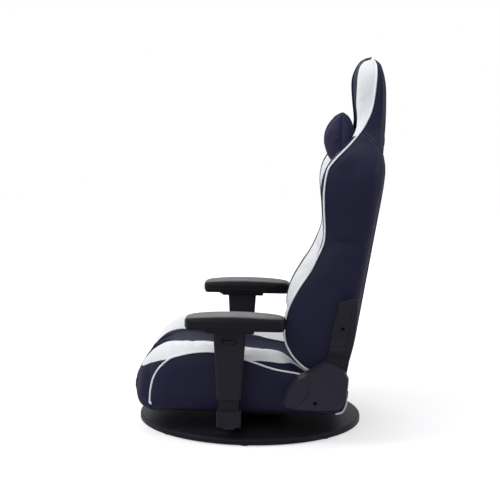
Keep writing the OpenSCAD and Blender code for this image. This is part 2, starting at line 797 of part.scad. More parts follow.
// Pivot bolt through both plates, slotted on the spring's side for the spring's end
module recliner_pivot(slotted) {
    head_x = outer_x + pivot_head_h*half;
    color(zinc) difference() {
        union() {
            side_rod(lower_plate_x, head_x - lower_plate_x, pivot_d/2 - run_fit, [pivot_y, pivot_z]);
            side_rod(outer_x, pivot_head_h, pivot_head_r, [pivot_y, pivot_z]);
            if (slotted)
                side_rod(head_x, pivot_head_h*half + spring_w + slide_fit, spring_in_r - spring_t,
                    [pivot_y, pivot_z]);
        }
        if (slotted)
            translate([outer_x + pivot_head_h, pivot_y - spring_slot_w/2, pivot_z - spring_in_r])
                cube([spring_w + over, spring_slot_w, 2*spring_in_r]);
    }
}
spring_in_r = 7;
spring_out_r = 25;
spring_turns = 3;
spring_t = 1.5;
spring_w = 5;
spring_steps = 24;
// Flat spiral spring, its inner end across the slot of the pivot
module return_spring() {
    steps = spring_turns*spring_steps;
    arc = [for (k = [0:steps])
        let (a = full_turn*k/spring_steps, r = mix(spring_in_r, spring_out_r, k/steps))
        r*[-sin(a), cos(a)]];
    inner = [for (p = arc) p*(1 - spring_t/2/norm(p))];
    outer = [for (k = [steps:-1:0]) arc[k]*(1 + spring_t/2/norm(arc[k]))];
    color(steel_dark)
        side_plate(outer_x + pivot_head_h + run_fit, spring_w)
            translate([pivot_y, pivot_z]) {
                polygon(concat(inner, outer));
                translate([-spring_t/2, 0]) square([spring_t, spring_in_r]);
            }
}

// Upper plates, drawn in the backrest's own directions round the pivot
upper_plate_r = 27;
upper_plate_end = 12;
module upper_plate_outline(extra = 0) {
    hull() {
        circle(r = upper_plate_r + extra, $fn = plate_steps);
        translate(back_bolts_at[1]) circle(r = upper_plate_end + extra, $fn = rim_steps);
    }
}
module upper_plate_holes() {
    side_rod(upper_plate_x - over, steel_t + 2*over, pivot_d/2, [0, 0]);
    for (at = back_bolts_at)
        side_rod(upper_plate_x - over, steel_t + 2*over, bolt_r + bolt_clear, at);
    side_rod(upper_plate_x - over, steel_t + 2*over, screw_d/2 + run_fit, back_screw_at, coarse);
}
module upper_plate() {
    color(steel_dark) difference() {
        side_plate(upper_plate_x, steel_t) upper_plate_outline();
        upper_plate_holes();
    }
}
// Locking teeth over an arc: radius, angle of the first tooth, pitch and count
tooth_pitch = 4.4;
sector_first = 243;
tooth_flat_share = 0.22;
function teeth(root_r, tip_r, first, pitch, count) = [
    for (i = [0:count - 1]) for (c = [[0, root_r], [tooth_flat_share, root_r],
            [half, tip_r], [half + tooth_flat_share, tip_r]])
        let (a = first + (i + c[0])*pitch)
        c[1]*[cos(a), sin(a)]
];
module sector_outline() {
    stop = sector_first + tooth_pitch*tooth_count;
    polygon(concat(
        [[0, 0]],
        teeth(sector_r - tooth_h, sector_r, sector_first, tooth_pitch, tooth_count),
        [(sector_r - tooth_h)*[cos(stop), sin(stop)]]
    ));
}
module recliner_sector_plate_right() {
    color(steel_dark) mirrored() on_back()
        difference() {
            union() {
                side_plate(upper_plate_x, steel_t) upper_plate_outline();
                side_plate(upper_plate_x, steel_t) sector_outline();
            }
            upper_plate_holes();
        }
}
// Pawl and lever in one stamping: its teeth face the sector with the lever held up
pawl_clear = 0.4;
pawl_teeth = 6;
pawl_middle = 249;
pawl_h = 7;
pawl_low_share = 0.75;
lever_h = 17;
lever_tip_h = 13;
lever_bore_wall = 8;
function lever_at(share) = [pivot_y, pivot_z] + lever_pin_at + [-lever_l*share, 0];
module pawl_outline() {
    first = pawl_middle - pawl_teeth*tooth_pitch/2;
    stop = pawl_middle + pawl_teeth*tooth_pitch/2;
    r = sector_r + pawl_clear + tooth_h;
    pin = lever_pin_at;
    polygon(concat(
        [pin + [lever_bore_wall*half, lever_bore_wall]],
        [r*[cos(first), sin(first)]],
        teeth(r, r - tooth_h, first, tooth_pitch, pawl_teeth),
        [r*[cos(stop), sin(stop)], (r + pawl_h)*[cos(stop - tooth_pitch), sin(stop - tooth_pitch)]],
        [pin + [lever_bore_wall*half, -lever_bore_wall*pawl_low_share]]
    ));
}
module recline_lever() {
    color(steel_dark) mirrored()
        difference() {
            union() {
                side_plate(upper_plate_x, steel_t) {
                    translate([pivot_y, pivot_z]) pawl_outline();
                    translate(lever_at(0)) circle(r = lever_pin_d/2 + lever_bore_wall, $fn = medium);
                }
                side_plate(upper_plate_x, steel_t)
                    polygon([
                        lever_at(0) + [0, lever_h/2], lever_at(1) + [0, lever_tip_h/2],
                        lever_at(1) - [0, lever_tip_h/2], lever_at(0) - [0, lever_h/2]
                    ]);
            }
            side_rod(upper_plate_x - over, steel_t + 2*over, lever_pin_d/2, lever_at(0));
        }
}
grip_l = 66;
grip_wall = 3.5;
grip_round = 6;
grip_h = 24;
grip_t = 15;
flute_r = 9;
flute_deep = 1.6;
// Moulded grip over the lever's end, with finger flutes underneath
module lever_grip() {
    flutes = 4;
    end = lever_at(1) - [grip_wall, grip_h/2];
    color(charcoal) mirrored()
        difference() {
            side_plate(upper_plate_x + (steel_t - grip_t)/2, grip_t)
                translate(end + [grip_l, grip_h]/2) polygon(rounded(oblong(grip_l/2, grip_h/2), grip_round));
            side_plate(upper_plate_x - run_fit, steel_t + 2*run_fit)
                translate([lever_at(1)[0] - run_fit, lever_at(1)[1] - grip_slot_h/2])
                    square([grip_l, grip_slot_h]);
            for (i = [1:flutes])
                side_rod(upper_plate_x - grip_t, 3*grip_t, flute_r,
                    end + [grip_l*i/(flutes + 1), flute_deep - flute_r]);
        }
}
grip_slot_h = 15.4;
module recline_lever_pin() {
    color(zinc) mirrored() {
        side_rod(lower_plate_x, outer_x + pivot_head_h*half - lower_plate_x, lever_pin_d/2 - run_fit,
            lever_at(0));
        side_rod(outer_x, pivot_head_h, lever_pin_d/2 + grip_wall, lever_at(0));
    }
}
module seat_plate_bolts() {
    color(zinc) both_sides() for (at = [seat_bolt_low, seat_bolt_front]) {
        side_rod(ear_x - ear_t - nut_h, lower_plate_x + steel_t + bolt_head_h*half - ear_x + ear_t + nut_h,
            bolt_r, [pivot_y, pivot_z] + at, coarse);
        side_rod(lower_plate_x + steel_t, bolt_head_h, bolt_head_r, [pivot_y, pivot_z] + at, coarse);
    }
}

// Outline of the lower hinge cover, from the pivot: back, up
hinge_cover_points = [[-124, -67], [-110, -22], [-84, 9], [-10, 53], [32, 34], [45, 10],
    [41, -44], [22, -73], [-18, -76], [-80, -75]];
hinge_cover_round = 9;
cover_draft = 5;
cover_step = 9;
module cover_slab(x, t, inward) {
    side_plate(x, t)
        polygon(rounded(from_pivot(inset(hinge_cover_points, inward)), hinge_cover_round));
}
cover_rim = 2;
cover_in_x = lower_plate_x - cover_rim;
// Space swept by the backrest's arm, left open in the cover's rim
swing_clear = 2.5;
swing_reach = 120;
recline_max = 70;
module cover_swing_gap() {
    front = arm_cover_points[0][0] - swing_clear;
    back = arm_cover_points[5][0] + swing_clear;
    side_plate(cover_in_x - over, outer_x + tongue_t + slide_fit - cover_in_x + over)
        translate([pivot_y, pivot_z])
            hull()
                for (a = [back_lean, back_lean + recline_max])
                    rotate(-a) translate([front, 0]) square([back - front, swing_reach]);
}
groove_w = 2.2;
groove_d = 0.8;
facet_d = 1.2;
// Front facet of the cover and its groove's end, from the pivot: back, up
facet_points = [[-58, 60], [-58, -32], [-92, -66], [-140, -66], [-140, 60]];
groove_slant = [2.2, -1];
lever_slot_shares = [0.16, 0.7];
module hinge_cover(lever_slot) {
    color(charcoal) difference() {
        hull() {
            cover_slab(cover_in_x, cover_step, 0);
            cover_slab(cover_in_x, cover_x - cover_in_x, cover_draft);
        }
        hull() {
            cover_slab(cover_in_x - over, cover_step, cover_wall);
            cover_slab(cover_in_x - over, cover_x - cover_in_x - cover_wall + over, cover_draft + cover_wall);
        }
        cover_swing_gap();
        // Recessed front facet and the groove along its edge
        side_plate(cover_x - facet_d, facet_d + over)
            polygon(from_pivot(facet_points));
        side_plate(cover_x - facet_d - groove_d, facet_d + groove_d + over)
            polygon(from_pivot([facet_points[0], facet_points[0] + [groove_w, 0],
                facet_points[1] + groove_slant, facet_points[2] + groove_slant,
                facet_points[2], facet_points[1]]));
        // Recess for the cover screw
        side_rod(cover_x - cover_wall - over, cover_wall + 2*over, screw_head_r + slide_fit,
            [pivot_y, pivot_z] + cover_screw_at);
        if (lever_slot)
            side_plate(upper_plate_x - 3*over, steel_t + 6*over)
                polygon([
                    lever_at(lever_slot_shares[0]) + [0, lever_h],
                    lever_at(lever_slot_shares[1]) + [0, 2*lever_h],
                    lever_at(lever_slot_shares[1]) - [0, lever_h],
                    lever_at(lever_slot_shares[0]) - [0, lever_h]
                ]);
    }
    // Hollow boss that the cover screw's head sits in
    color(charcoal) difference() {
        side_rod(screw_boss_x, cover_x - cover_wall*half - screw_boss_x,
            screw_head_r + cover_wall, [pivot_y, pivot_z] + cover_screw_at);
        side_rod(lower_plate_x, cover_depth, screw_d/2 + run_fit, [pivot_y, pivot_z] + cover_screw_at);
        side_rod(screw_boss_x + cover_wall, cover_depth, screw_head_r + slide_fit,
            [pivot_y, pivot_z] + cover_screw_at);
    }
}
screw_boss_x = outer_x + slide_fit;
module hinge_cover_screws() {
    color(zinc) both_sides() {
        side_rod(lower_plate_x, screw_boss_x + cover_wall + screw_head_h*half - lower_plate_x, screw_d/2,
            [pivot_y, pivot_z] + cover_screw_at, coarse);
        side_rod(screw_boss_x + cover_wall, screw_head_h, screw_head_r,
            [pivot_y, pivot_z] + cover_screw_at, coarse);
    }
}

// Cover of the backrest's arm: a thin tongue under the hinge cover and a deeper upper part
tongue_t = 9.4;
arm_cover_depth = 17;
arm_cover_round = 5;
arm_cover_points = [[-20, 31], [-20, 120], [-16, 198], [27, 215], [34, 140], [33, 31]];
arm_cover_step = [60, 76];
arm_cover_top = 230;
arm_groove_share = 0.7;
// Solid of the cover with its walls moved inwards by d: its outline and its stepped depth
module arm_cover_body(d) {
    x = upper_plate_x - (d > 0 ? over : 0);
    reach = arm_cover_points[5][0] + over;
    intersection() {
        side_plate(x, outer_x + arm_cover_depth - x)
            polygon(rounded(inset(arm_cover_points, d), arm_cover_round));
        translate([0, reach, 0]) rotate([90, 0, 0]) linear_extrude(2*reach)
            polygon([
                [x, 0], [outer_x + tongue_t - d, 0], [outer_x + tongue_t - d, arm_cover_step[0] + d],
                [outer_x + arm_cover_depth - d, arm_cover_step[1] + d],
                [outer_x + arm_cover_depth - d, arm_cover_top], [x, arm_cover_top]
            ]);
    }
}
module back_arm_cover() {
    groove_at = mix(arm_cover_points[0][0], arm_cover_points[5][0], arm_groove_share);
    color(charcoal) difference() {
        arm_cover_body(0);
        arm_cover_body(cover_wall);
        side_plate(upper_plate_x - over, steel_t + over + slide_fit) upper_plate_outline(slide_fit);
        side_rod(outer_x, arm_cover_depth + over, screw_head_r + slide_fit, back_screw_at);
        side_plate(outer_x + arm_cover_depth - groove_d, groove_d + over)
            translate([groove_at, arm_cover_step[1]])
                square([groove_w, arm_cover_points[2][1] - arm_cover_step[1]]);
    }
    // Hollow boss that the cover screw's head sits in
    color(charcoal) difference() {
        side_rod(screw_boss_x, arm_cover_depth - cover_wall*half - slide_fit, screw_head_r + cover_wall,
            back_screw_at);
        side_rod(upper_plate_x, cover_depth, screw_d/2 + run_fit, back_screw_at);
        side_rod(screw_boss_x + cover_wall, cover_depth, screw_head_r + slide_fit, back_screw_at);
    }
}
module back_cover_screws() {
    color(zinc) on_back() both_sides() {
        side_rod(upper_plate_x, screw_boss_x + cover_wall + screw_head_h*half - upper_plate_x, screw_d/2,
            back_screw_at, coarse);
        side_rod(screw_boss_x + cover_wall, screw_head_h, screw_head_r, back_screw_at, coarse);
    }
}
module back_plate_bolts() {
    from = back_frame_half_w - back_tube_d/2 - nut_h;
    color(zinc) on_back() both_sides() for (at = back_bolts_at) {
        side_rod(from, upper_plate_x + steel_t + bolt_head_h*half - from, bolt_r, at, coarse);
        side_rod(upper_plate_x + steel_t, bolt_head_h, bolt_head_r, at, coarse);
    }
}

// Backrest: tube frame, belts, cushion, piping and neck pillow

back_frame_in = 40;
back_frame_half_w = back_w/2 - back_frame_in;
back_frame_low = 22;
top_bar_share = 0.69;
top_bar_s = top_bar_share*back_l;
hoop_w_share = 0.417;
hoop_half_w = hoop_w_share*back_w/2;
hoop_h = 188;
hoop_lean = 13;
back_bend_r = 40;
// Upright hoop in the plane of [across, up] points
module hoop(half_w, low, high) {
    rotate([90, 0, 0])
        bent_tube([[half_w, low], [half_w, high], [-half_w, high], [-half_w, low]], back_bend_r, back_tube_d/2);
}
// Moves what is drawn round the top bar to the forward-leaning head hoop
module on_head() {
    translate([0, back_frame_t, top_bar_s]) rotate([hoop_lean, 0, 0]) children();
}
back_cross_shares = [0.045, 0.27, 0.5];
crossbar_r = 6;
module back_frame() {
    color(steel_dark) on_back()
        difference() {
            union() {
                translate([0, back_frame_t, 0]) hoop(back_frame_half_w, back_frame_low, top_bar_s);
                on_head() hoop(hoop_half_w, 0, hoop_h);
                for (share = back_cross_shares)
                    side_rod(-back_frame_half_w, 2*back_frame_half_w, crossbar_r, [back_frame_t, share*back_l]);
            }
            both_sides() for (at = back_bolts_at)
                side_rod(back_frame_half_w - back_tube_d, 2*back_tube_d, bolt_r + run_fit, at, coarse);
        }
}
belt_count = 6;
belt_w = 40;
belt_first_share = 0.11;
belt_last_share = 0.48;
module back_webbing() {
    color(webbing_grey) on_back()
        for (i = [0:belt_count - 1])
            translate([-back_frame_half_w - back_tube_d/2, back_frame_t - back_tube_d/2 - web_t,
                mix(belt_first_share, belt_last_share, i/(belt_count - 1))*back_l - belt_w/2])
                cube([2*back_frame_half_w + back_tube_d, web_t, belt_w]);
}

// Depth of the back cushion at the hips, which the shares below are of
hip_depth = 184;
// Half width along the backrest, as [share of length, share of half width]
back_plan_shares = [[-0.05, 0.945], [-0.025, 0.975], [0, 0.987], [0.0625, 1], [0.137, 1],
    [0.25, 0.983], [0.375, 0.953], [0.43, 0.945], [0.5, 0.97], [0.574, 1.013], [0.624, 1.021],
    [0.66, 0.996], [0.7, 0.911], [0.737, 0.774], [0.768, 0.672], [0.8, 0.609], [0.849, 0.57],
    [0.911, 0.562], [0.949, 0.536], [0.974, 0.477], [0.989, 0.4], [0.996, 0.323], [1, 0.238]];
// Surfaces along the backrest, as [share of length, share of hip depth behind the pivot]
back_rear_shares = [[0, 0.212], [0.075, 0.217], [0.375, 0.223], [0.6, 0.217], [0.677, 0.196],
    [0.732, 0.152], [0.768, 0.125], [0.801, 0.109], [0.838, 0.087], [0.875, 0.06], [0.913, 0.027],
    [0.949, -0.022], [0.974, -0.065], [0.989, -0.109], [0.996, -0.163], [1, -0.207]];
back_front_shares = [[0, -0.212], [0.015, -0.304], [0.0375, -0.413], [0.075, -0.5],
    [0.137, -0.554], [0.2, -0.565], [0.275, -0.533], [0.375, -0.462], [0.449, -0.418],
    [0.524, -0.38], [0.6, -0.326], [0.674, -0.261], [0.749, -0.234], [0.8, -0.255],
    [0.849, -0.315], [0.9, -0.37], [0.936, -0.391], [0.968, -0.375], [0.986, -0.326],
    [0.995, -0.283], [1, -0.228]];
back_wing_shares = [[0, -0.212], [0.0075, -0.25], [0.0137, -0.293], [0.021, -0.386],
    [0.041, -0.538], [0.062, -0.641], [0.091, -0.728], [0.137, -0.783], [0.194, -0.777],
    [0.262, -0.679], [0.321, -0.576], [0.365, -0.527], [0.424, -0.495], [0.474, -0.522],
    [0.526, -0.571], [0.577, -0.614], [0.624, -0.609], [0.672, -0.533], [0.723, -0.37],
    [0.765, -0.272], [0.8, -0.272], [0.849, -0.326], [0.9, -0.359], [0.936, -0.375],
    [0.968, -0.359], [0.986, -0.31], [0.995, -0.272], [1, -0.223]];
back_piping_shares = [[0, -0.201], [0.0137, -0.266], [0.021, -0.37], [0.041, -0.511],
    [0.062, -0.609], [0.091, -0.696], [0.137, -0.745], [0.194, -0.739], [0.262, -0.647],
    [0.321, -0.533], [0.365, -0.478], [0.411, -0.429], [0.451, -0.44], [0.526, -0.511],
    [0.577, -0.549], [0.639, -0.549], [0.672, -0.478], [0.723, -0.315], [0.765, -0.201],
    [0.791, -0.152], [0.839, -0.098], [0.916, -0.103], [0.978, -0.141], [0.997, -0.201], [1, -0.215]];
back_stations_shares = [0, 0.0137, 0.021, 0.041, 0.062, 0.091, 0.137, 0.194, 0.25, 0.3, 0.34, 0.375,
    0.411, 0.451, 0.5, 0.55, 0.6, 0.639, 0.67, 0.695, 0.715, 0.737, 0.762, 0.79, 0.82, 0.86, 0.9,
    0.936, 0.962, 0.98, 0.99, 0.996, 1];
// Section of the backrest from its middle behind to its middle in front
rear = 0;
seam = 1;
wing = 2;
front = 3;
back_section_shares = [[0, rear, seam, 0], [0.5, rear, seam, 0], [0.84, rear, seam, 0.02],
    [0.955, rear, seam, 0.08], [0.995, rear, seam, 0.25], [1, rear, seam, 0.55],
    [0.993, rear, seam, 0.93], [0.978, seam, wing, 0], [0.962, seam, wing, 0.4],
    [0.9, seam, wing, 1], [0.82, wing, front, 0.12], [0.7, wing, front, 0.5],
    [0.6, wing, front, 0.9], [0.56, wing, front, 1.06], [0.525, wing, front, 1],
    [0.27, wing, front, 0.94], [0, wing, front, 0.9]];
roll_steps = 4;
// The roll's seam lies a little inside it, its first station a little above its lowest line
roll_seam_share = 0.93;
roll_first_share = 0.02;
// The four surfaces at a station; below the pivot they close in the rolled end
function back_depths(u) =
    u >= 0 ? [for (t = [back_rear_shares, back_piping_shares, back_wing_shares, back_front_shares])
        hip_depth*curve(u, t)] :
    let (r = sqrt(max(pow(roll_r, 2) - pow(u*back_l, 2), 0)))
    [r, -r*roll_seam_share, -r, -r];
function back_point(u, q) =
    let (d = back_depths(u))
    [back_w/2*curve(u, back_plan_shares)*q[0], mix(d[q[1]], d[q[2]], q[3]), u*back_l];
function back_ring(u) =
    let (side = [for (q = back_section_shares) back_point(u, q)], n = len(side))
    concat(side, [for (i = [n - 2:-1:1]) [-side[i][0], side[i][1], side[i][2]]]);
function roll_stations() = [for (i = [0:roll_steps - 1])
    -roll_r/back_l*cos(quarter*(i/roll_steps + roll_first_share))];
module back_form() {
    skin([for (u = concat(roll_stations(), back_stations_shares)) back_ring(u)]);
}
module back_pocket() {
    w = back_frame_half_w + back_tube_d/2 + pocket_gap*half;
    top = top_bar_s + back_tube_d/2 + pocket_gap;
    front_gap = back_tube_d/2 + web_t + soft_gap;
    rear_gap = back_tube_d/2 + soft_gap;
    corner = back_bend_r*half;
    translate([0, back_frame_t + rear_gap, 0]) rotate([90, 0, 0])
        linear_extrude(front_gap + rear_gap)
            polygon([
                [w, -2*roll_r], [w, top - corner], [w - corner, top],
                [-w + corner, top], [-w, top - corner], [-w, -2*roll_r]
            ]);
    on_head() translate([-hoop_half_w - rear_gap, -rear_gap, 0])
        cube([2*(hoop_half_w + rear_gap), 2*rear_gap, hoop_h + rear_gap]);
    both_sides() for (at = back_bolts_at)
        side_rod(back_frame_half_w, back_w/2 - back_frame_half_w + pocket_gap, bolt_r + soft_gap,
            at, pocket_steps);
}
module back_cushion() {
    color(navy) on_back() difference() {
        back_form();
        back_pocket();
    }
}
back_piping_first = 1;
back_seam_point = 7;
function back_piping_path() = moved_out([
    for (i = [back_piping_first:len(back_stations_shares) - 1])
        back_point(back_stations_shares[i], back_section_shares[back_seam_point])
], [0, -1, 0], [0, 0, 1]);
module back_piping() {
    color(white_trim) on_back() cord(back_piping_path(), piping_r, [1, 0, 0]);
}

pillow_middle = 587;
pillow_stations_shares = [-1, -0.985, -0.93, -0.8, -0.55, -0.25, 0.25, 0.55, 0.8, 0.93, 0.985, 1];
// Outline of the pillow's end, as shares of its depth and height, from its lower rear corner
pillow_outline_shares = [[0.03, -0.44], [0.3, -0.5], [0.6, -0.46], [0.86, -0.25], [1, 0.02],
    [0.93, 0.2], [0.72, 0.36], [0.45, 0.47], [0.28, 0.5], [0.06, 0.48], [0.02, 0.25], [0, 0]];
// How full the pillow is along its width: slack at its ends
pillow_end_share = 0.62;
pillow_end_power = 6;
function pillow_fill(v) = mix(pillow_end_share, 1, sqrt(1 - pow(abs(v), pillow_end_power)));
pillow_gap = 1.7;
pillow_step_share = 0.1;
module neck_pillow() {
    color(navy_dark) on_back()
        skin([
            for (v = pillow_stations_shares)
                [for (q = pillow_outline_shares)
                    let (
                        f = pillow_fill(v),
                        s = pillow_middle + q[1]*pillow_h*f,
                        rear_t = hip_depth*min([for (k = [-half:pillow_step_share:half])
                            curve((pillow_middle + k*pillow_h)/back_l, back_front_shares)]) - pillow_gap
                    )
                    [v*pillow_w/2, rear_t - q[0]*pillow_d*f, s]]
        ]);
}

// Armrests

bracket_w = 30;
bracket_t = 5;
bracket_leg_in = 14;
bracket_lip = 11;
bracket_leg_x = frame_half_w - bracket_leg_in;
bracket_run_z = 43;
bracket_top = 112;
bracket_lip_out = frame_half_w + bracket_lip;
// Offset steel bracket: a lip under the frame, a drop, a run below the seat and an upright
module arm_bracket() {
    t = bracket_t;
    under_frame = frame_z - tube_d/2;
    color(steel_dark)
        difference() {
            translate([0, -arm_y - bracket_w/2, 0]) {
                translate([bracket_leg_x - t/2, 0, under_frame - t])
                    cube([bracket_lip_out - bracket_leg_x + t/2, bracket_w, t]);
                translate([bracket_leg_x - t/2, 0, bracket_run_z - t/2])
                    cube([t, bracket_w, under_frame - bracket_run_z + t/2]);
                translate([bracket_leg_x - t/2, 0, bracket_run_z - t/2])
                    cube([arm_x - bracket_leg_x + t, bracket_w, t]);
                translate([arm_x - t/2, 0, bracket_run_z - t/2])
                    cube([t, bracket_w, bracket_top - bracket_run_z + t/2]);
            }
            translate([frame_half_w, -arm_y, under_frame - t - over])
                cylinder(h = t + 2*over, r = bolt_r/2 + run_fit, $fn = coarse);
            side_rod(arm_x - t, 2*t, bolt_r/2 + run_fit, [-arm_y, foot_cover_top + foot_bolt_up], coarse);
        }
}
foot_cover_w = 60;
foot_cover_t = 38;
foot_cover_bottom = 49;
foot_cover_top = 88;
foot_bolt_up = 12;
foot_round = 4;
module arm_foot_cover() {
    w = foot_cover_w;
    t = foot_cover_t;
    color(charcoal)
        difference() {
            translate([arm_x, -arm_y, foot_cover_bottom]) linear_extrude(foot_cover_top - foot_cover_bottom)
                polygon(rounded(oblong(t/2, w/2), foot_round));
            // Hollow, open below, with a slot for the bracket through its roof
            translate([arm_x, -arm_y, foot_cover_bottom - over])
                linear_extrude(foot_cover_top - foot_cover_bottom - cover_wall + over)
                    polygon(rounded(inset(oblong(t/2, w/2), cover_wall), foot_round - cover_wall*half));
            translate([arm_x - bracket_t/2 - slide_fit, -arm_y - bracket_w/2 - slide_fit, foot_cover_bottom])
                cube([bracket_t + 2*slide_fit, bracket_w + 2*slide_fit, foot_cover_top]);
        }
}
post_top = 240;
post_wall = 2;
module arm_post() {
    color(charcoal)
        difference() {
            translate([arm_x, -arm_y, foot_cover_top]) linear_extrude(post_top - foot_cover_top)
                polygon(rounded(oblong(post_t/2, post_w/2), post_wall));
            translate([arm_x - bracket_t/2, -arm_y - bracket_w/2, foot_cover_top - over])
                cube([bracket_t, bracket_w, bracket_top - foot_cover_top + 2*over]);
            side_rod(arm_x - post_t, 2*post_t, bolt_r/2 + run_fit,
                [-arm_y, foot_cover_top + foot_bolt_up], coarse);
            // Notches of the height steps
            for (i = [0:notch_count - 1])
                translate([arm_x - post_t, -arm_y - post_w/2 - over, post_top - notch_first - i*notch_pitch])
                    cube([2*post_t, notch_d + over, notch_h]);
        }
}
notch_count = 6;
notch_pitch = 14;
notch_first = 24;
notch_h = 6;
notch_d = 3;
module arm_bracket_bolts() {
    color(zinc) both_sides() {
        translate([frame_half_w, -arm_y, frame_z - tube_d/2 - bracket_t - bolt_head_h/2]) {
            cylinder(h = tube_d + bracket_t + bolt_head_h/2, r = bolt_r/2, $fn = coarse);
            cylinder(h = bolt_head_h/2, r = bolt_head_r/2, $fn = coarse);
        }
        side_rod(arm_x - post_t/2, post_t, bolt_r/2, [-arm_y, foot_cover_top + foot_bolt_up], coarse);
    }
}
recess_up = 148;
recess_l = 40;
recess_h = 22;
recess_d = 7;
housing_round = 7;
function housing_top() = housing_z + housing_h;
// Tapered sleeve over the post, with a bevelled front edge and the trigger's recess
module arm_housing() {
    top_w = housing_w;
    foot_w = housing_foot_w;
    t = housing_t;
    color(charcoal)
        difference() {
            hull() {
                translate([arm_x, -arm_y, housing_top() - over]) linear_extrude(over)
                    polygon(rounded(oblong(t/2, top_w/2), housing_round));
                translate([arm_x, -arm_y, housing_z]) linear_extrude(over)
                    polygon(rounded(oblong(t/2 - over, foot_w/2), housing_round));
            }
            translate([arm_x - post_t/2 - slide_fit, -arm_y - post_w/2 - slide_fit, housing_z - over])
                cube([post_t + 2*slide_fit, post_w + 2*slide_fit, housing_h - housing_roof + over]);
            trigger_recess(0, recess_d);
        }
}
housing_roof = 14;
// Oval space in the housing's outer face
module trigger_recess(inward, depth) {
    r = recess_h/2 - inward;
    side_plate(arm_x + housing_t/2 - depth, depth + over) {
        for (y = [-1, 1])
            translate([-arm_y + y*(recess_l/2 - recess_h/2), housing_z + recess_up]) circle(r = r, $fn = medium);
        translate([-arm_y - recess_l/2 + recess_h/2, housing_z + recess_up - r])
            square([recess_l - recess_h, 2*r]);
    }
}
trigger_h = 9;
trigger_inset = 1.5;
// Finger bar in the recess, with its rounded ends; it is lifted to free the post
module height_trigger() {
    r = trigger_h/2;
    l = recess_l - 2*recess_h/2 + trigger_h - 2*slide_fit;
    z = housing_z + recess_up - recess_h/2 + r + slide_fit;
    color(charcoal)
        side_plate(arm_x + housing_t/2 - recess_d, recess_d - trigger_inset) {
            for (y = [-half, half]) translate([-arm_y + y*(l - 2*r), z]) circle(r = r, $fn = coarse);
            translate([-arm_y - l/2 + r, z - r]) square([l - 2*r, 2*r]);
        }
}
rail_t = 10;
rail_w = 52;
rail_slot_w = 12;
rail_slot_share = 0.76;
rail_shift = 1.5;
rail_step = 3;
function rail_y() = -arm_y + rail_shift;
// Stepped plate on the housing's top, with the slot that the pad's tongue slides in
module pad_rail() {
    z = housing_top();
    color(charcoal)
        difference() {
            translate([arm_x, rail_y(), z]) {
                linear_extrude(rail_t - rail_step)
                    polygon(rounded(oblong(rail_w/2 - rail_step, rail_l/2 - rail_step),
                        housing_round - rail_step));
                translate([0, 0, rail_t - rail_step]) linear_extrude(rail_step)
                    polygon(rounded(oblong(rail_w/2, rail_l/2), housing_round));
            }
            translate([arm_x - rail_slot_w/2, rail_y() - rail_l*rail_slot_share/2, z + rail_t - rail_slot_d])
                cube([rail_slot_w, rail_l*rail_slot_share, rail_slot_d + over]);
            pad_button_space(slide_fit, button_travel);
        }
}
rail_slot_d = 6;
button_w = 20;
button_h = 5;
button_l = 9;
button_out = 4;
button_travel = 3;
module pad_button_space(fit, extra) {
    z = housing_top() + rail_step*half;
    translate([arm_x - button_w/2 - fit, rail_y() - rail_l/2 - button_out - fit, z - fit])
        cube([button_w + 2*fit, button_l + button_out + fit + extra, button_h + 2*fit]);
}
module pad_button() {
    z = housing_top() + rail_step*half;
    color(charcoal)
        translate([arm_x, rail_y() - rail_l/2 + (button_l - button_out)/2, z]) linear_extrude(button_h)
            polygon(rounded(oblong(button_w/2, (button_l + button_out)/2), button_out*half));
}
pad_base_t = 3;
pad_shift = 14;
tongue_l = 40;
function pad_z() = housing_top() + rail_t + slide_fit;
function pad_y() = -arm_y + pad_shift;
module pad_base() {
    z = pad_z();
    inner = pad_rim;
    color(charcoal) {
        translate([arm_x, pad_y(), z]) linear_extrude(pad_base_t)
            polygon(rounded(oblong(arm_pad_w/2 - inner, arm_pad_l/2 - inner), pad_corner_r - inner));
        translate([arm_x - rail_slot_w/2 + slide_fit*half, rail_y() - tongue_l/2, z - rail_slot_d + 2*slide_fit])
            cube([rail_slot_w - slide_fit, tongue_l, rail_slot_d - 2*slide_fit]);
    }
}
pad_rim = 5;
pad_corner_r = 20;
pad_corner_steps = 3;
pad_point_gap = 32;
// Rings of the pad from below: shares of its height, length and width
pad_levels_shares = [[0, 0.972, 0.93], [0, 0.988, 0.97], [0.25, 1, 1], [0.62, 1, 1],
    [0.82, 0.986, 0.965], [0.93, 0.952, 0.88], [0.985, 0.87, 0.68], [1, 0.6, 0.35], [1, 0.12, 0.07]];
pad_end_share = 0.8;
// Moulded pad: rings that shrink towards a gently arched top
module arm_pad() {
    z0 = pad_z() + pad_base_t;
    h = arm_pad_h - pad_base_t;
    outline = filled(rounded(oblong(arm_pad_w/2, arm_pad_l/2), pad_corner_r, pad_corner_steps),
        pad_point_gap);
    color(black_satin)
        skin([
            for (q = pad_levels_shares)
                [for (p = outline)
                    let (y = p[1]*q[1])
                    [arm_x + p[0]*q[2], pad_y() + y,
                        z0 + h*q[0]*mix(1, pad_end_share, pow(2*y/arm_pad_l, 2)*q[0])]]
        ]);
}

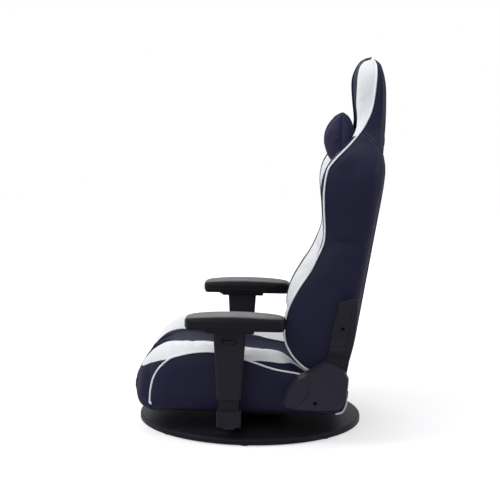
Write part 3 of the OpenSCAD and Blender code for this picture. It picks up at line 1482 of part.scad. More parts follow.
base_disc();
base_ribs();
floor_pads();
bearing_lower_plate();
bearing_balls();
bearing_cage();
base_bolts();
bearing_upper_plate();
hub_bolts();
seat_mount();
seat_frame();
seat_webbing();
seat_bottom_cloth();
seat_cushion();
seat_piping();  // seat_piping_left
mirrored() seat_piping();  // seat_piping_right
lower_plate();  // recliner_lower_plate_left
mirrored() lower_plate();  // recliner_lower_plate_right
recliner_pivot(true);  // recliner_pivot_left
mirrored() recliner_pivot(false);  // recliner_pivot_right
hinge_cover(false);  // hinge_cover_left
mirrored() hinge_cover(true);  // hinge_cover_right
hinge_cover_screws();
seat_plate_bolts();
return_spring();
recline_lever_pin();
arm_bracket();  // arm_bracket_left
mirrored() arm_bracket();  // arm_bracket_right
arm_bracket_bolts();
arm_foot_cover();  // arm_foot_cover_left
mirrored() arm_foot_cover();  // arm_foot_cover_right
arm_post();  // arm_post_left
mirrored() arm_post();  // arm_post_right
back_frame();
back_webbing();
back_cushion();
back_piping();  // back_piping_left
mirrored() back_piping();  // back_piping_right
on_back() upper_plate();  // recliner_upper_plate_left
recliner_sector_plate_right();
on_back() back_arm_cover();  // back_arm_cover_left
mirrored() on_back() back_arm_cover();  // back_arm_cover_right
back_plate_bolts();
back_cover_screws();
neck_pillow();
recline_lever();
lever_grip();
arm_housing();  // arm_housing_left
mirrored() arm_housing();  // arm_housing_right
pad_rail();  // pad_rail_left
mirrored() pad_rail();  // pad_rail_right
height_trigger();  // height_trigger_left
mirrored() height_trigger();  // height_trigger_right
pad_base();  // pad_base_left
mirrored() pad_base();  // pad_base_right
arm_pad();  // arm_pad_left
mirrored() arm_pad();  // arm_pad_right
pad_button();  // pad_button_left
mirrored() pad_button();  // pad_button_right
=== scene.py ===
# %% [markdown]
# # A floor gaming chair
# The chair is a legless bucket seat on a flat swivelling disc. Its steel, plastic and
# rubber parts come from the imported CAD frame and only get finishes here. Its soft parts
# are sewn covers over foam, and those are made below, panel by panel, in the places
# where the CAD model holds their plain solids. Everything is in metres: the chair faces
# -Y, it stands on z = 0, and the near side of the photograph is +X.

# %% Load the frame
import json
import math

import bmesh
import bpy
import numpy as np
from mathutils import Matrix, Vector
from mathutils.kdtree import KDTree


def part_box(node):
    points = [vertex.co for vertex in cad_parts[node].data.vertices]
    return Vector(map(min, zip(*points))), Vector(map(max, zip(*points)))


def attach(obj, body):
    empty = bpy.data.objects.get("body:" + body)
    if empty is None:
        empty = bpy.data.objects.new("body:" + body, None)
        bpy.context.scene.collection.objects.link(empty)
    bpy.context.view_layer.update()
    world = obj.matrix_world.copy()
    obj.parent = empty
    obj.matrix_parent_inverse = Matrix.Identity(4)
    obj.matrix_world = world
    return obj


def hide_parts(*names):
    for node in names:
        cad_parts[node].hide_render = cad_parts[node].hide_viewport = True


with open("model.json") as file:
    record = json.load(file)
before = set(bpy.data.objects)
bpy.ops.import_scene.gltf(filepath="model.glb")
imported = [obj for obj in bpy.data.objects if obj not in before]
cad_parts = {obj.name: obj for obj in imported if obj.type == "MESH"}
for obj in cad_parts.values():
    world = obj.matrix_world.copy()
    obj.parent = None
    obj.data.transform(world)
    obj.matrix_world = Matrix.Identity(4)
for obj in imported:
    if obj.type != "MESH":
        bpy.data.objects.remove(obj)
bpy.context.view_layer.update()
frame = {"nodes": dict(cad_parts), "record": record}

# %% [markdown]
# ## The camera
# The photograph was taken from the chair's left side with a long lens, at about the
# height of the headrest and looking slightly down. A long lens far away keeps the near
# and the far armrest almost the same size. The place and the angles were worked out from the disc's oval
# edge, the height of the chair and the offset between the two armrests.

# %% Camera
PHOTO_PIXELS = 500
FOCAL_PIXELS = 1249
SENSOR_MM = 36
CAMERA_PLACE = Vector((3.28, 0.147, 0.879))
CAMERA_YAW = math.radians(2.68)
CAMERA_PITCH = math.radians(7.44)
CAMERA_ROLL = math.radians(0.82)


def aim(yaw, pitch, roll):
    """The camera's turn, looking along -X, then turned to -Y, down and about its own axis."""
    level = math.cos(pitch)
    forward = Vector((-math.cos(yaw)*level, -math.sin(yaw)*level, -math.sin(pitch)))
    right = forward.cross(Vector((0, 0, 1))).normalized()
    up = right.cross(forward)
    rolled_right = right*math.cos(roll) + up*math.sin(roll)
    rolled_up = up*math.cos(roll) - right*math.sin(roll)
    return Matrix((rolled_right, rolled_up, -forward)).transposed()


scene = bpy.context.scene
camera_data = bpy.data.cameras.new("PhotoCamera")
camera_data.sensor_width = SENSOR_MM
camera_data.lens = SENSOR_MM*FOCAL_PIXELS/PHOTO_PIXELS
camera = bpy.data.objects.new("PhotoCamera", camera_data)
scene.collection.objects.link(camera)
camera_turn = aim(CAMERA_YAW, CAMERA_PITCH, CAMERA_ROLL).to_4x4()
camera.matrix_world = Matrix.Translation(CAMERA_PLACE) @ camera_turn
scene.camera = camera
print("camera lens", round(camera_data.lens, 2), "mm at", tuple(CAMERA_PLACE))

# %% [markdown]
# ## The studio
# A product photograph of a dark chair needs large soft lamps, so that black plastic shows
# long pale reflections and not small hot spots. One big lamp stands high in front of the
# chair, one beside the camera, one overhead, one behind the chair and one on its far
# side. The world fills in a little of the rest.

# %% Lamps
scene.view_settings.view_transform = "Standard"


def soft_lamp(name, place, target, size, power):
    """A rectangular lamp at a place, turned to shine on a target."""
    lamp = bpy.data.lights.new(name, "AREA")
    lamp.shape = "RECTANGLE"
    lamp.size, lamp.size_y = size
    lamp.energy = power
    stand = bpy.data.objects.new(name, lamp)
    scene.collection.objects.link(stand)
    toward = (Vector(target) - Vector(place)).normalized()
    turn = toward.to_track_quat("-Z", "Y").to_matrix().to_4x4()
    stand.matrix_world = Matrix.Translation(Vector(place)) @ turn
    return stand


CHAIR_MIDDLE = (0, 0, 0.4)
lamps = [
    soft_lamp("FrontLamp", (0.9, -2.2, 2.3), CHAIR_MIDDLE, (1.8, 1.4), 50),
    soft_lamp("SideLamp", (2.9, -1.0, 1.75), CHAIR_MIDDLE, (2.2, 1.6), 34),
    soft_lamp("TopLamp", (0.2, 0.0, 2.9), CHAIR_MIDDLE, (2.0, 2.0), 24),
    soft_lamp("RearLamp", (0.6, 2.4, 1.7), CHAIR_MIDDLE, (0.9, 1.8), 24),
    soft_lamp("FarLamp", (-2.2, -0.6, 1.9), CHAIR_MIDDLE, (1.6, 1.4), 26),
]
print("lamps", [lamp.name for lamp in lamps])

# %% [markdown]
# ## The white background
# A ray that comes straight from the camera, or by way of a mirror or glass, sees plain
# white. Every other ray sees a dim grey, which is all the light that the world gives.

# %% World
FILL_GREY = (0.8, 0.82, 0.86, 1)
FILL_STRENGTH = 0.25


def seen_ray(tree):
    """1 for the rays that show the background: straight, mirrored or through glass."""
    rays = tree.nodes.new("ShaderNodeLightPath")
    found = rays.outputs["Is Camera Ray"]
    for kind in ("Is Glossy Ray", "Is Transmission Ray"):
        most = tree.nodes.new("ShaderNodeMath")
        most.operation = "MAXIMUM"
        tree.links.new(found, most.inputs[0])
        tree.links.new(rays.outputs[kind], most.inputs[1])
        found = most.outputs[0]
    return found


world = bpy.data.worlds.new("Studio")
scene.world = world
world.use_nodes = True
sky = world.node_tree
sky.nodes.clear()
sky_out = sky.nodes.new("ShaderNodeOutputWorld")
sky_mix = sky.nodes.new("ShaderNodeMixShader")
fill = sky.nodes.new("ShaderNodeBackground")
fill.inputs["Color"].default_value = FILL_GREY
fill.inputs["Strength"].default_value = FILL_STRENGTH
backdrop = sky.nodes.new("ShaderNodeBackground")
backdrop.inputs["Color"].default_value = (1, 1, 1, 1)
backdrop.inputs["Strength"].default_value = 1
sky.links.new(seen_ray(sky), sky_mix.inputs["Fac"])
sky.links.new(fill.outputs[0], sky_mix.inputs[1])
sky.links.new(backdrop.outputs[0], sky_mix.inputs[2])
sky.links.new(sky_mix.outputs[0], sky_out.inputs["Surface"])
print("world fill", FILL_STRENGTH)

# %% [markdown]
# ## Smooth numbers
# A sewn cover has no flat facets, so a few measured places are joined by one smooth
# curve. Each table lists a place along the chair and a value there. The curve passes
# through every pair with the mean slope of its neighbours, which never kinks.


# %% Curves through tables
def hermite(v, width, start, slope_in, stop, slope_out):
    """The place at a share v of one stretch of a smooth curve, from its ends and its slopes there."""
    return ((2*v**3 - 3*v**2 + 1)*start + (v**3 - 2*v**2 + v)*width*slope_in
            + (3*v**2 - 2*v**3)*stop + (v**3 - v**2)*width*slope_out)


def smooth(place, table):
    """The value at a place of the smooth curve through [place, value] pairs."""
    last = len(table) - 1
    i = 0
    while i < last - 1 and place >= table[i + 1][0]:
        i += 1

    def slope(k):
        low, high = max(k - 1, 0), min(k + 1, last)
        return (table[high][1] - table[low][1])/(table[high][0] - table[low][0])

    width = table[i + 1][0] - table[i][0]
    v = min(max((place - table[i][0])/width, 0), 1)
    return hermite(v, width, table[i][1], slope(i), table[i + 1][1], slope(i + 1))


def stretch(points, i, before=None, after=None):
    """What hermite needs for one stretch of a curve through 3-D points."""
    start, stop = points[i], points[i + 1]
    previous = points[i - 1] if i else before
    following = points[i + 2] if i + 2 < len(points) else after
    width = max(np.linalg.norm(stop - start), 1e-6)
    slope_in = slope_out = (stop - start)/width
    if previous is not None:
        slope_in = (stop - previous)/(max(np.linalg.norm(start - previous), 1e-6) + width)
    if following is not None:
        slope_out = (following - start)/(width + max(np.linalg.norm(following - stop), 1e-6))
    return width, start, slope_in, stop, slope_out


def smooth_path(points, counts, before=None, after=None):
    """Points on a curve through 3-D points, with a count of steps for each stretch."""
    points = [np.array(p, float) for p in points]
    made = []
    for i, count in enumerate(counts):
        parts = stretch(points, i, before, after)
        made += [hermite(k/count, *parts) for k in range(count)]
    return made + [points[-1]]


print("curve check", round(smooth(0.5, [(0, 0), (1, 1)]), 3))

# %% [markdown]
# ## The forms of the two cushions
# Each cushion is a loft: the same cross-section is drawn at many stations along the
# chair, and its width and heights change from one to the next. The section has named
# points from its middle underneath (or behind), round the side to the piping seam, over
# the crest of the bolster, down into the groove beside the middle panel, to the middle.
# The seat has the same proportions as the CAD model, so its cover fits the frame.

# %% Seat proportions
seat_low, seat_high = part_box("seat_cushion")
SEAT_HALF_W = seat_high.x
SEAT_NOSE_Y = seat_low.y
REAR_TUCK = 0.004
SEAT_LENGTH = seat_high.y - seat_low.y - REAR_TUCK
SEAT_BASE_Z = seat_low.z
SEAT_HEIGHT = 0.180
NOSE_BOW = 0.010
NOSE_BOW_SHARE = 0.35
PIVOT = Vector((0, 0.212, 0.160))
ROLL_R = 0.039
SCOOP_R = ROLL_R + 0.0035
REAR_RIM_SHARE = 0.19
REAR_ROUND = 0.010
SEAT_PLAN = [(0, 0.64), (0.012, 0.75), (0.036, 0.85), (0.07, 0.915), (0.11, 0.957), (0.165, 0.985),
             (0.3, 1), (0.6, 1), (0.9, 0.99), (0.97, 0.962), (1, 0.91)]
SEAT_UNDER = [(0, 0.222), (0.012, 0.122), (0.036, 0.05), (0.07, 0.011), (0.11, 0), (0.97, 0),
              (0.985, 0.011), (1, 0.078)]
SEAT_SEAM = [(0, 0.26), (0.036, 0.16), (0.07, 0.11), (0.086, 0.09), (0.090, 0.267), (0.100, 0.422),
             (0.1215, 0.567), (0.15, 0.667), (0.178, 0.739), (0.197, 0.772), (0.293, 0.844),
             (0.392, 0.861), (0.53, 0.767), (0.667, 0.639), (0.79, 0.57), (0.83, 0.5)]
SEAT_CREST = [(0, 0.311), (0.012, 0.456), (0.036, 0.589), (0.07, 0.722), (0.108, 0.838), (0.165, 0.940),
              (0.235, 0.968), (0.38, 0.968), (0.53, 0.902), (0.655, 0.865), (0.7, 0.83), (0.73, 0.77),
              (0.765, 0.68), (0.795, 0.615), (0.83, 0.55)]
SEAT_DISH = [(0, 0.29), (0.012, 0.43), (0.036, 0.54), (0.07, 0.644), (0.11, 0.728), (0.165, 0.772),
             (0.235, 0.767), (0.38, 0.722), (0.53, 0.672), (0.655, 0.633), (0.72, 0.61), (0.795, 0.57),
             (0.83, 0.53)]
SEAT_STATIONS = [0, 0.012, 0.036, 0.07, 0.082, 0.086, 0.088, 0.090, 0.094, 0.100, 0.11, 0.1215, 0.135,
                 0.15, 0.178, 0.197, 0.22, 0.27, 0.33, 0.392, 0.46, 0.53, 0.6, 0.655, 0.7, 0.73, 0.765,
                 0.795, 0.815, 0.83, 0.842, 0.852, 0.864, 0.88, 0.9, 0.922, 0.96, 0.985, 1]
# Each section point: its share of the half width, the two surfaces that it lies between,
# and its share of the way from the one to the other
UNDER, SEAM, CREST, DISH = range(4)
SEAT_SECTION = [(0, UNDER, SEAM, 0), (0.5, UNDER, SEAM, 0), (0.87, UNDER, SEAM, 0), (0.97, UNDER, SEAM, 0.06),
                (1, UNDER, SEAM, 0.45), (0.995, UNDER, SEAM, 0.93), (0.982, SEAM, CREST, 0),
                (0.962, SEAM, CREST, 0.12), (0.905, SEAM, CREST, 0.66), (0.83, SEAM, CREST, 1),
                (0.75, CREST, DISH, 0.1), (0.665, CREST, DISH, 0.5), (0.59, CREST, DISH, 0.9),
                (0.545, CREST, DISH, 1.06), (0.505, CREST, DISH, 0.99), (0.25, CREST, DISH, 0.93),
                (0, CREST, DISH, 0.9)]
SEAT_SEAM_POINT = 6
SEAT_STEPS = [7, 5, 3, 4, 5, 2, 2, 4, 4, 4, 4, 4, 2, 2, 6, 6]


def seat_levels(u):
    """The four heights of the seat at a share of its length."""
    back = u*SEAT_LENGTH + SEAT_NOSE_Y - PIVOT.y
    scoop = PIVOT.z + SEAT_HEIGHT
    if back >= -SCOOP_R:
        scoop = PIVOT.z - (math.sqrt(SCOOP_R**2 - back**2) if back < 0 else SCOOP_R)
    from_end = (1 - u)*SEAT_LENGTH
    rim = PIVOT.z + SEAT_HEIGHT
    if from_end < REAR_ROUND:
        lowest = SEAT_BASE_Z + REAR_RIM_SHARE*SEAT_HEIGHT
        rim = lowest + (PIVOT.z - SCOOP_R - lowest)*math.sqrt(max(1 - (1 - from_end/REAR_ROUND)**2, 0))
    top = min(scoop, rim)
    levels = [SEAT_BASE_Z + SEAT_HEIGHT*smooth(u, t) for t in (SEAT_UNDER, SEAT_SEAM, SEAT_CREST, SEAT_DISH)]
    levels[SEAM] = min(levels[SEAM], top - 0.009*min(1, (1 - u)*12))
    levels[CREST] = min(levels[CREST], top)
    levels[DISH] = min(levels[DISH], top - 0.001)
    return levels


def seat_half(u):
    """The named points of the seat's section on the near side."""
    levels = seat_levels(u)
    width = SEAT_HALF_W*smooth(u, SEAT_PLAN)
    points = []
    for across, a, b, share in SEAT_SECTION:
        bow = NOSE_BOW*across**2*max(0, 1 - u/NOSE_BOW_SHARE)
        height = levels[a] + (levels[b] - levels[a])*share
        points.append((width*across, u*SEAT_LENGTH + SEAT_NOSE_Y + bow, height))
    return points


print("seat", round(2*SEAT_HALF_W, 3), "wide", round(SEAT_LENGTH, 3), "long")

# %% [markdown]
# ## The backrest
# The backrest is drawn upright, from its hinge to the top of the headrest, and then leans
# back about the hinge. Below the hinge it closes in a roll, which turns in the seat's
# scoop. It follows the CAD model, but its middle lies deeper behind the wings at the
# waist, because the photograph shows none of it there between the near piping and the
# white stripe of the far wing.

# %% Backrest proportions
BACK_LENGTH = 0.801
BACK_HALF_W = 0.235
BACK_LEAN = math.radians(9)
HIP_DEPTH = 0.184
BACK_PLAN = [(-0.05, 0.945), (-0.025, 0.975), (0, 0.987), (0.0625, 1), (0.137, 1), (0.25, 0.983),
             (0.375, 0.953), (0.43, 0.945), (0.5, 0.97), (0.574, 1.013), (0.624, 1.021), (0.66, 0.996),
             (0.7, 0.911), (0.737, 0.774), (0.768, 0.672), (0.8, 0.609), (0.849, 0.57), (0.911, 0.562),
             (0.949, 0.536), (0.974, 0.477), (0.989, 0.4), (0.996, 0.323), (1, 0.238)]
BACK_REAR = [(0, 0.212), (0.075, 0.217), (0.375, 0.223), (0.6, 0.217), (0.677, 0.196), (0.732, 0.152),
             (0.768, 0.125), (0.801, 0.109), (0.838, 0.087), (0.875, 0.06), (0.913, 0.027), (0.949, -0.022),
             (0.974, -0.065), (0.989, -0.109), (0.996, -0.163), (1, -0.207)]
BACK_FRONT = [(0, -0.212), (0.015, -0.304), (0.0375, -0.413), (0.075, -0.5), (0.137, -0.548),
              (0.2, -0.54), (0.275, -0.475), (0.34, -0.4), (0.4, -0.372), (0.449, -0.37),
              (0.524, -0.36), (0.6, -0.326), (0.674, -0.261), (0.749, -0.234), (0.8, -0.255),
              (0.849, -0.315), (0.9, -0.37), (0.936, -0.391), (0.968, -0.375), (0.986, -0.326),
              (0.995, -0.283), (1, -0.228)]
BACK_WING = [(0, -0.212), (0.0075, -0.25), (0.0137, -0.293), (0.021, -0.386), (0.041, -0.538),
             (0.062, -0.641), (0.091, -0.728), (0.137, -0.777), (0.194, -0.762), (0.262, -0.661),
             (0.321, -0.555), (0.365, -0.498), (0.424, -0.460), (0.474, -0.495), (0.526, -0.554),
             (0.577, -0.606), (0.624, -0.603), (0.672, -0.530), (0.723, -0.37), (0.765, -0.272),
             (0.8, -0.268), (0.849, -0.316), (0.9, -0.347), (0.936, -0.363), (0.968, -0.350),
             (0.986, -0.306), (0.995, -0.270), (1, -0.223)]
BACK_SEAM = [(0, -0.201), (0.0137, -0.266), (0.021, -0.37), (0.041, -0.511), (0.062, -0.609), (0.091, -0.696),
             (0.137, -0.745), (0.194, -0.739), (0.262, -0.647), (0.321, -0.533), (0.365, -0.478),
             (0.411, -0.429), (0.451, -0.44), (0.526, -0.511), (0.577, -0.549), (0.639, -0.549),
             (0.672, -0.478), (0.723, -0.315), (0.765, -0.201), (0.791, -0.152), (0.839, -0.098),
             (0.916, -0.103), (0.978, -0.141), (0.997, -0.201), (1, -0.215)]
BACK_STATIONS = [0, 0.0137, 0.021, 0.041, 0.062, 0.091, 0.137, 0.194, 0.25, 0.3, 0.34, 0.375, 0.411,
                 0.451, 0.5, 0.55, 0.6, 0.639, 0.67, 0.695, 0.715, 0.737, 0.762, 0.79, 0.82, 0.86, 0.9,
                 0.936, 0.962, 0.98, 0.99, 0.996, 1]
REAR, PIPED, WING, FRONT = range(4)
BACK_SECTION = [(0, REAR, PIPED, 0), (0.5, REAR, PIPED, 0), (0.84, REAR, PIPED, 0.02),
                (0.955, REAR, PIPED, 0.08), (0.995, REAR, PIPED, 0.25), (1, REAR, PIPED, 0.55),
                (0.993, REAR, PIPED, 0.93), (0.978, PIPED, WING, 0), (0.962, PIPED, WING, 0.4),
                (0.9, PIPED, WING, 1), (0.82, WING, FRONT, 0.12), (0.7, WING, FRONT, 0.5),
                (0.6, WING, FRONT, 0.9), (0.56, WING, FRONT, 1.06), (0.525, WING, FRONT, 1),
                (0.27, WING, FRONT, 0.94), (0, WING, FRONT, 0.9)]
BACK_SEAM_POINT = 7
BACK_STEPS = [8, 6, 4, 3, 5, 5, 2, 2, 4, 4, 5, 4, 2, 2, 6, 6]
ROLL_STEPS = 8


def back_depths(u):
    """The four surfaces of the backrest at a share of its length, which close in a roll below."""
    if u >= 0:
        return [HIP_DEPTH*smooth(u, t) for t in (BACK_REAR, BACK_SEAM, BACK_WING, BACK_FRONT)]
    r = math.sqrt(max(ROLL_R**2 - (u*BACK_LENGTH)**2, 0))
    return [r, -0.93*r, -r, -r]


def back_half(u):
    """The named points of the upright backrest's section on the near side."""
    depths = back_depths(u)
    width = BACK_HALF_W*smooth(u, BACK_PLAN)
    return [(width*across, depths[a] + (depths[b] - depths[a])*share, u*BACK_LENGTH)
            for across, a, b, share in BACK_SECTION]


lean = Matrix.Translation(PIVOT) @ Matrix.Rotation(-BACK_LEAN, 4, "X")
lean_np = np.array(lean)


def on_back(points):
    """Points of the upright backrest, moved to where it leans."""
    return np.asarray(points) @ lean_np[:3, :3].T + lean_np[:3, 3]


print("backrest", round(BACK_LENGTH, 3), "long, leaning", round(math.degrees(BACK_LEAN)), "degrees")

# %% [markdown]
# ## From sections to a cover
# The loft becomes a grid of quads. Every vertex remembers two numbers: `u`, how far it is
# along the cushion, and `t`, which section point it lies at. The panels, the seams and
# the colours are all drawn in these two numbers, so a seam can run anywhere over the
# form, and it stays smooth however coarse the grid is.


# %% Stations and rings
def spread(stations, length, step):
    """Stations with extra ones between them, so that none are further apart than a step."""
    made = []
    for a, b in zip(stations, stations[1:]):
        count = max(1, math.ceil((b - a)*length/step))
        made += [a + (b - a)*k/count for k in range(count)]
    return made + [stations[-1]]


def section_ring(half, steps, seam_point):
    """A closed ring through a half section and its mirror image, with a crease at the piping seam."""
    mirror = np.array([-1, 1, 1])
    half = [np.array(p, float) for p in half]
    side = smooth_path(half[:seam_point + 1], steps[:seam_point], before=half[1]*mirror)
    top = smooth_path(half[seam_point:], steps[seam_point:], after=half[-2]*mirror)
    near = side[:-1] + top
    far = [p*mirror for p in near[-2:0:-1]]
    return near + far


def ring_places(steps):
    """The section place t of every point of a ring."""
    near = [i + k/n for i, n in enumerate(steps) for k in range(n)] + [len(steps)]
    return near + near[-2:0:-1]


def closing_rings(ring, thin_axis, out_axis, bulge, count=3):
    """Rings that close an end: they flatten along the thin axis and bulge a little outwards."""
    ring = np.array(ring)
    middle = (ring[:, thin_axis].min() + ring[:, thin_axis].max())/2
    rings = []
    for k in range(1, count + 1):
        angle = math.pi/2*k/(count + 0.15)
        shut = ring.copy()
        shut[:, thin_axis] = middle + (ring[:, thin_axis] - middle)*math.cos(angle)
        shut[:, out_axis] += bulge*math.sin(angle)
        rings.append(shut)
    return rings


print("seat ring places", len(ring_places(SEAT_STEPS)))

# %% [markdown]
# ## Numbers on a mesh
# NumPy works on whole arrays, so these helpers read the places, the normals and the
# stored numbers of a mesh as arrays and write them back in one go. A number that the
# vertices carry can also be read by a material, and that is how the seams get their
# painted shade along the fold.


# %% Numbers on a mesh
def places(mesh):
    """Vertex places as an array."""
    co = np.empty(len(mesh.vertices)*3)
    mesh.vertices.foreach_get("co", co)
    return co.reshape(-1, 3)


def normals(mesh):
    """Vertex normals as an array."""
    no = np.empty(len(mesh.vertices)*3)
    mesh.vertex_normals.foreach_get("vector", no)
    return no.reshape(-1, 3)


def attribute_of(mesh, name):
    """One of the numbers that the vertices carry, as an array."""
    values = np.empty(len(mesh.vertices))
    mesh.attributes[name].data.foreach_get("value", values)
    return values


def keep_attribute(mesh, name, values):
    """Stores a number for every vertex, for the materials to read."""
    if name not in mesh.attributes:
        mesh.attributes.new(name, "FLOAT", "POINT")
    mesh.attributes[name].data.foreach_set("value", np.asarray(values, np.float32))


def put_places(mesh, co):
    """Moves every vertex to a new place."""
    mesh.vertices.foreach_set("co", np.ascontiguousarray(co, np.float32).ravel())
    mesh.update()


print("mesh helpers ready")


# %% Loft
def loft(name, rings, us, ts):
    """A closed mesh over rings, with the grid places kept as attributes u and t."""
    rings = np.array(rings)
    count, n = rings.shape[:2]
    faces = []
    for i in range(count - 1):
        for j in range(n):
            k = (j + 1) % n
            faces.append((i*n + j, i*n + k, (i + 1)*n + k, (i + 1)*n + j))
    faces.append(tuple(range(n - 1, -1, -1)))
    faces.append(tuple((count - 1)*n + j for j in range(n)))
    mesh = bpy.data.meshes.new(name)
    mesh.from_pydata([tuple(p) for p in rings.reshape(-1, 3)], [], faces)
    mesh.update()
    build = bmesh.new()
    build.from_mesh(mesh)
    bmesh.ops.recalc_face_normals(build, faces=build.faces)
    build.to_mesh(mesh)
    build.free()
    keep_attribute(mesh, "u", np.repeat(us, n))
    keep_attribute(mesh, "t", np.tile(ts, count))
    mesh.shade_smooth()
    piece = bpy.data.objects.new(name, mesh)
    scene.collection.objects.link(piece)
    return piece


print("loft ready")

# %% [markdown]
# ## The two grids
# Stations are added until no two rings are further apart than the grid step. Both ends
# are closed with a few shrinking rings. The backrest's roll gets rings of its own.

# %% Grids
GRID_STEP = 0.0075
seat_us = spread(SEAT_STATIONS, SEAT_LENGTH, GRID_STEP)
seat_rings = [section_ring(seat_half(u), SEAT_STEPS, SEAT_SEAM_POINT) for u in seat_us]
nose_close = closing_rings(seat_rings[0], 2, 1, -0.002)[::-1]
rear_close = closing_rings(seat_rings[-1], 2, 1, 0.0015)
seat_cover = loft("SeatCover", nose_close + seat_rings + rear_close,
                  [0]*len(nose_close) + seat_us + [1]*len(rear_close), ring_places(SEAT_STEPS))

roll_us = [-ROLL_R/BACK_LENGTH*math.cos(math.pi/2*(k + 0.08)/ROLL_STEPS) for k in range(ROLL_STEPS)]
back_us = roll_us + spread(BACK_STATIONS, BACK_LENGTH, GRID_STEP)
back_rings = [section_ring(back_half(u), BACK_STEPS, BACK_SEAM_POINT) for u in back_us]
top_close = closing_rings(back_rings[-1], 1, 2, 0.0015)
back_rings = [on_back(r) for r in back_rings + top_close]
back_cover = loft("BackCover", back_rings, back_us + [1]*len(top_close), ring_places(BACK_STEPS))
print("seat cover", len(seat_cover.data.vertices), "back cover", len(back_cover.data.vertices))

# %% [markdown]
# ## Panels and seams
# The real cover is cut from flat panels: navy sides and middles, white stripes over the
# wings and bolsters, and white side panels on the headrest. A seam is given as a few
# (u, t) places with a smooth curve through them. Where the curve crosses the grid, the
# nearest vertex slides onto it, and a quad that it crosses from corner to corner is cut in
# two. So every seam ends up as a chain of edges, and the colour can change from one face
# to the next without a jagged line.

# %% Seam curves
CURVE_STEPS = 14
SEAM_SAMPLE = 0.002
MIRROR = np.array([-1, 1, 1])


def curve(places_on):
    """Dense (u, t) places on the smooth curve through a few of them."""
    u_table = [(k, p[0]) for k, p in enumerate(places_on)]
    t_table = [(k, p[1]) for k, p in enumerate(places_on)]
    count = CURVE_STEPS*(len(places_on) - 1)
    return [(smooth(k/CURVE_STEPS, u_table), smooth(k/CURVE_STEPS, t_table)) for k in range(count + 1)]


def surface_point(half_at, seam_point, u, t):
    """A point of the near half of a form at a station u and a section place t."""
    half = [np.array(p, float) for p in half_at(u)]
    t = min(max(t, 0), len(half) - 1)
    if t <= seam_point:
        chain, offset, before, after = half[:seam_point + 1], 0, half[1]*MIRROR, None
    else:
        chain, offset, before, after = half[seam_point:], seam_point, None, half[-2]*MIRROR
    i = min(int(t - offset), len(chain) - 2)
    return hermite(t - offset - i, *stretch(chain, i, before, after))


def distances_along(line):
    """How far each point of a line is from its start, along the line."""
    return np.concatenate([[0], np.cumsum(np.linalg.norm(np.diff(line, axis=0), axis=1))])


def resampled(line, at):
    """The points of a line at the given distances from its start."""
    along = distances_along(line)
    return np.stack([np.interp(at, along, line[:, axis]) for axis in range(3)], axis=1)


def lay_seam(form, dense):
    """A seam's evenly spaced points on the near side and on its mirror image."""
    half_at, seam_point, move = form
    line = np.array([surface_point(half_at, seam_point, u, t) for u, t in dense])
    line = resampled(line, np.arange(0, distances_along(line)[-1], SEAM_SAMPLE))
    return [move(line), move(line*MIRROR)]


print("curve", curve([(0, 0), (1, 2)])[7])

# %% [markdown]
# ## Seams on the grid
# A seam curve crosses the rings and columns of the grid in many places. The vertex next
# to each crossing becomes a part of the seam. A vertex that would only make the chain
# take a detour is left out again.

# %% Seams on the grid
SEAT_FORM = (seat_half, SEAT_SEAM_POINT, np.asarray)
BACK_FORM = (back_half, BACK_SEAM_POINT, on_back)


def crossings(line):
    """Where a line of (ring, column) places crosses the grid's own lines, and its two ends."""
    found = [line[0]]
    for (i0, j0), (i1, j1) in zip(line, line[1:]):
        cuts = []
        for a, b in ((i0, i1), (j0, j1)):
            if a != b:
                cuts += [(k - a)/(b - a) for k in range(math.ceil(min(a, b)), math.floor(max(a, b)) + 1)]
        found += [(i0 + (i1 - i0)*v, j0 + (j1 - j0)*v) for v in sorted(cuts)]
    return found + [line[-1]]


def snap_seam(dense, us, columns, taken):
    """The chain of grid vertices under a seam; taken gets the (u, t) that each slides to."""
    rings = np.interp([u for u, _ in dense], us, range(len(us)))
    across = np.interp([t for _, t in dense], columns, range(len(columns)))
    chain, wishes = [], {}
    for i, j in crossings(list(zip(rings, across))):
        vertex = (round(i), round(j))
        gap = math.hypot(i - vertex[0], j - vertex[1])
        if vertex not in taken and gap < wishes.get(vertex, (9, None))[0]:
            wishes[vertex] = (gap, (float(np.interp(i, range(len(us)), us)),
                                    float(np.interp(j, range(len(columns)), columns))))
        if not chain or chain[-1] != vertex:
            chain.append(vertex)
    kept = []
    for vertex in chain:
        while len(kept) > 1 and max(abs(vertex[0] - kept[-2][0]), abs(vertex[1] - kept[-2][1])) < 2:
            kept.pop()
        kept.append(vertex)
    taken.update({vertex: place for vertex, (_, place) in wishes.items() if vertex in kept})
    return kept


def within(u, t, polygon):
    """Whether a place lies inside a closed polygon of (u, t) places."""
    inside = False
    for (u0, t0), (u1, t1) in zip(polygon, polygon[1:] + polygon[:1]):
        if (t0 > t) != (t1 > t) and u < u0 + (u1 - u0)*(t - t0)/(t1 - t0):
            inside = not inside
    return inside


print("crossings", crossings([(0.2, 0.4), (2.3, 0.9)]))

# %% [markdown]
# ## Where the seams run
# Each seam is a short list of (u, t) places. Those that the photograph shows were read
# off it. Those across the front and the rear are guesses in keeping with them.

# %% Seam places
# The white stripe over the seat's bolster: (u, t) along its outer and its inner edge
STRIPE_OUT = [(0.030, 9.0), (0.042, 8.68), (0.06, 8.52), (0.086, 8.40), (0.09, 8.2), (0.1, 7.92),
              (0.125, 7.5), (0.15, 7.17), (0.164, 6.95), (0.196, 6.0), (0.3, 6.0), (0.4, 6.0),
              (0.5, 6.0), (0.528, 6.25), (0.588, 7.15), (0.648, 7.45), (0.712, 7.7), (0.768, 8.85),
              (0.85, 9.6)]
STRIPE_IN = [(0.030, 11.6), (0.07, 11.7), (0.11, 11.9), (0.19, 12.1), (0.30, 12.2), (0.42, 12.0),
             (0.55, 11.8), (0.65, 12.2), (0.80, 12.5), (0.85, 12.6)]
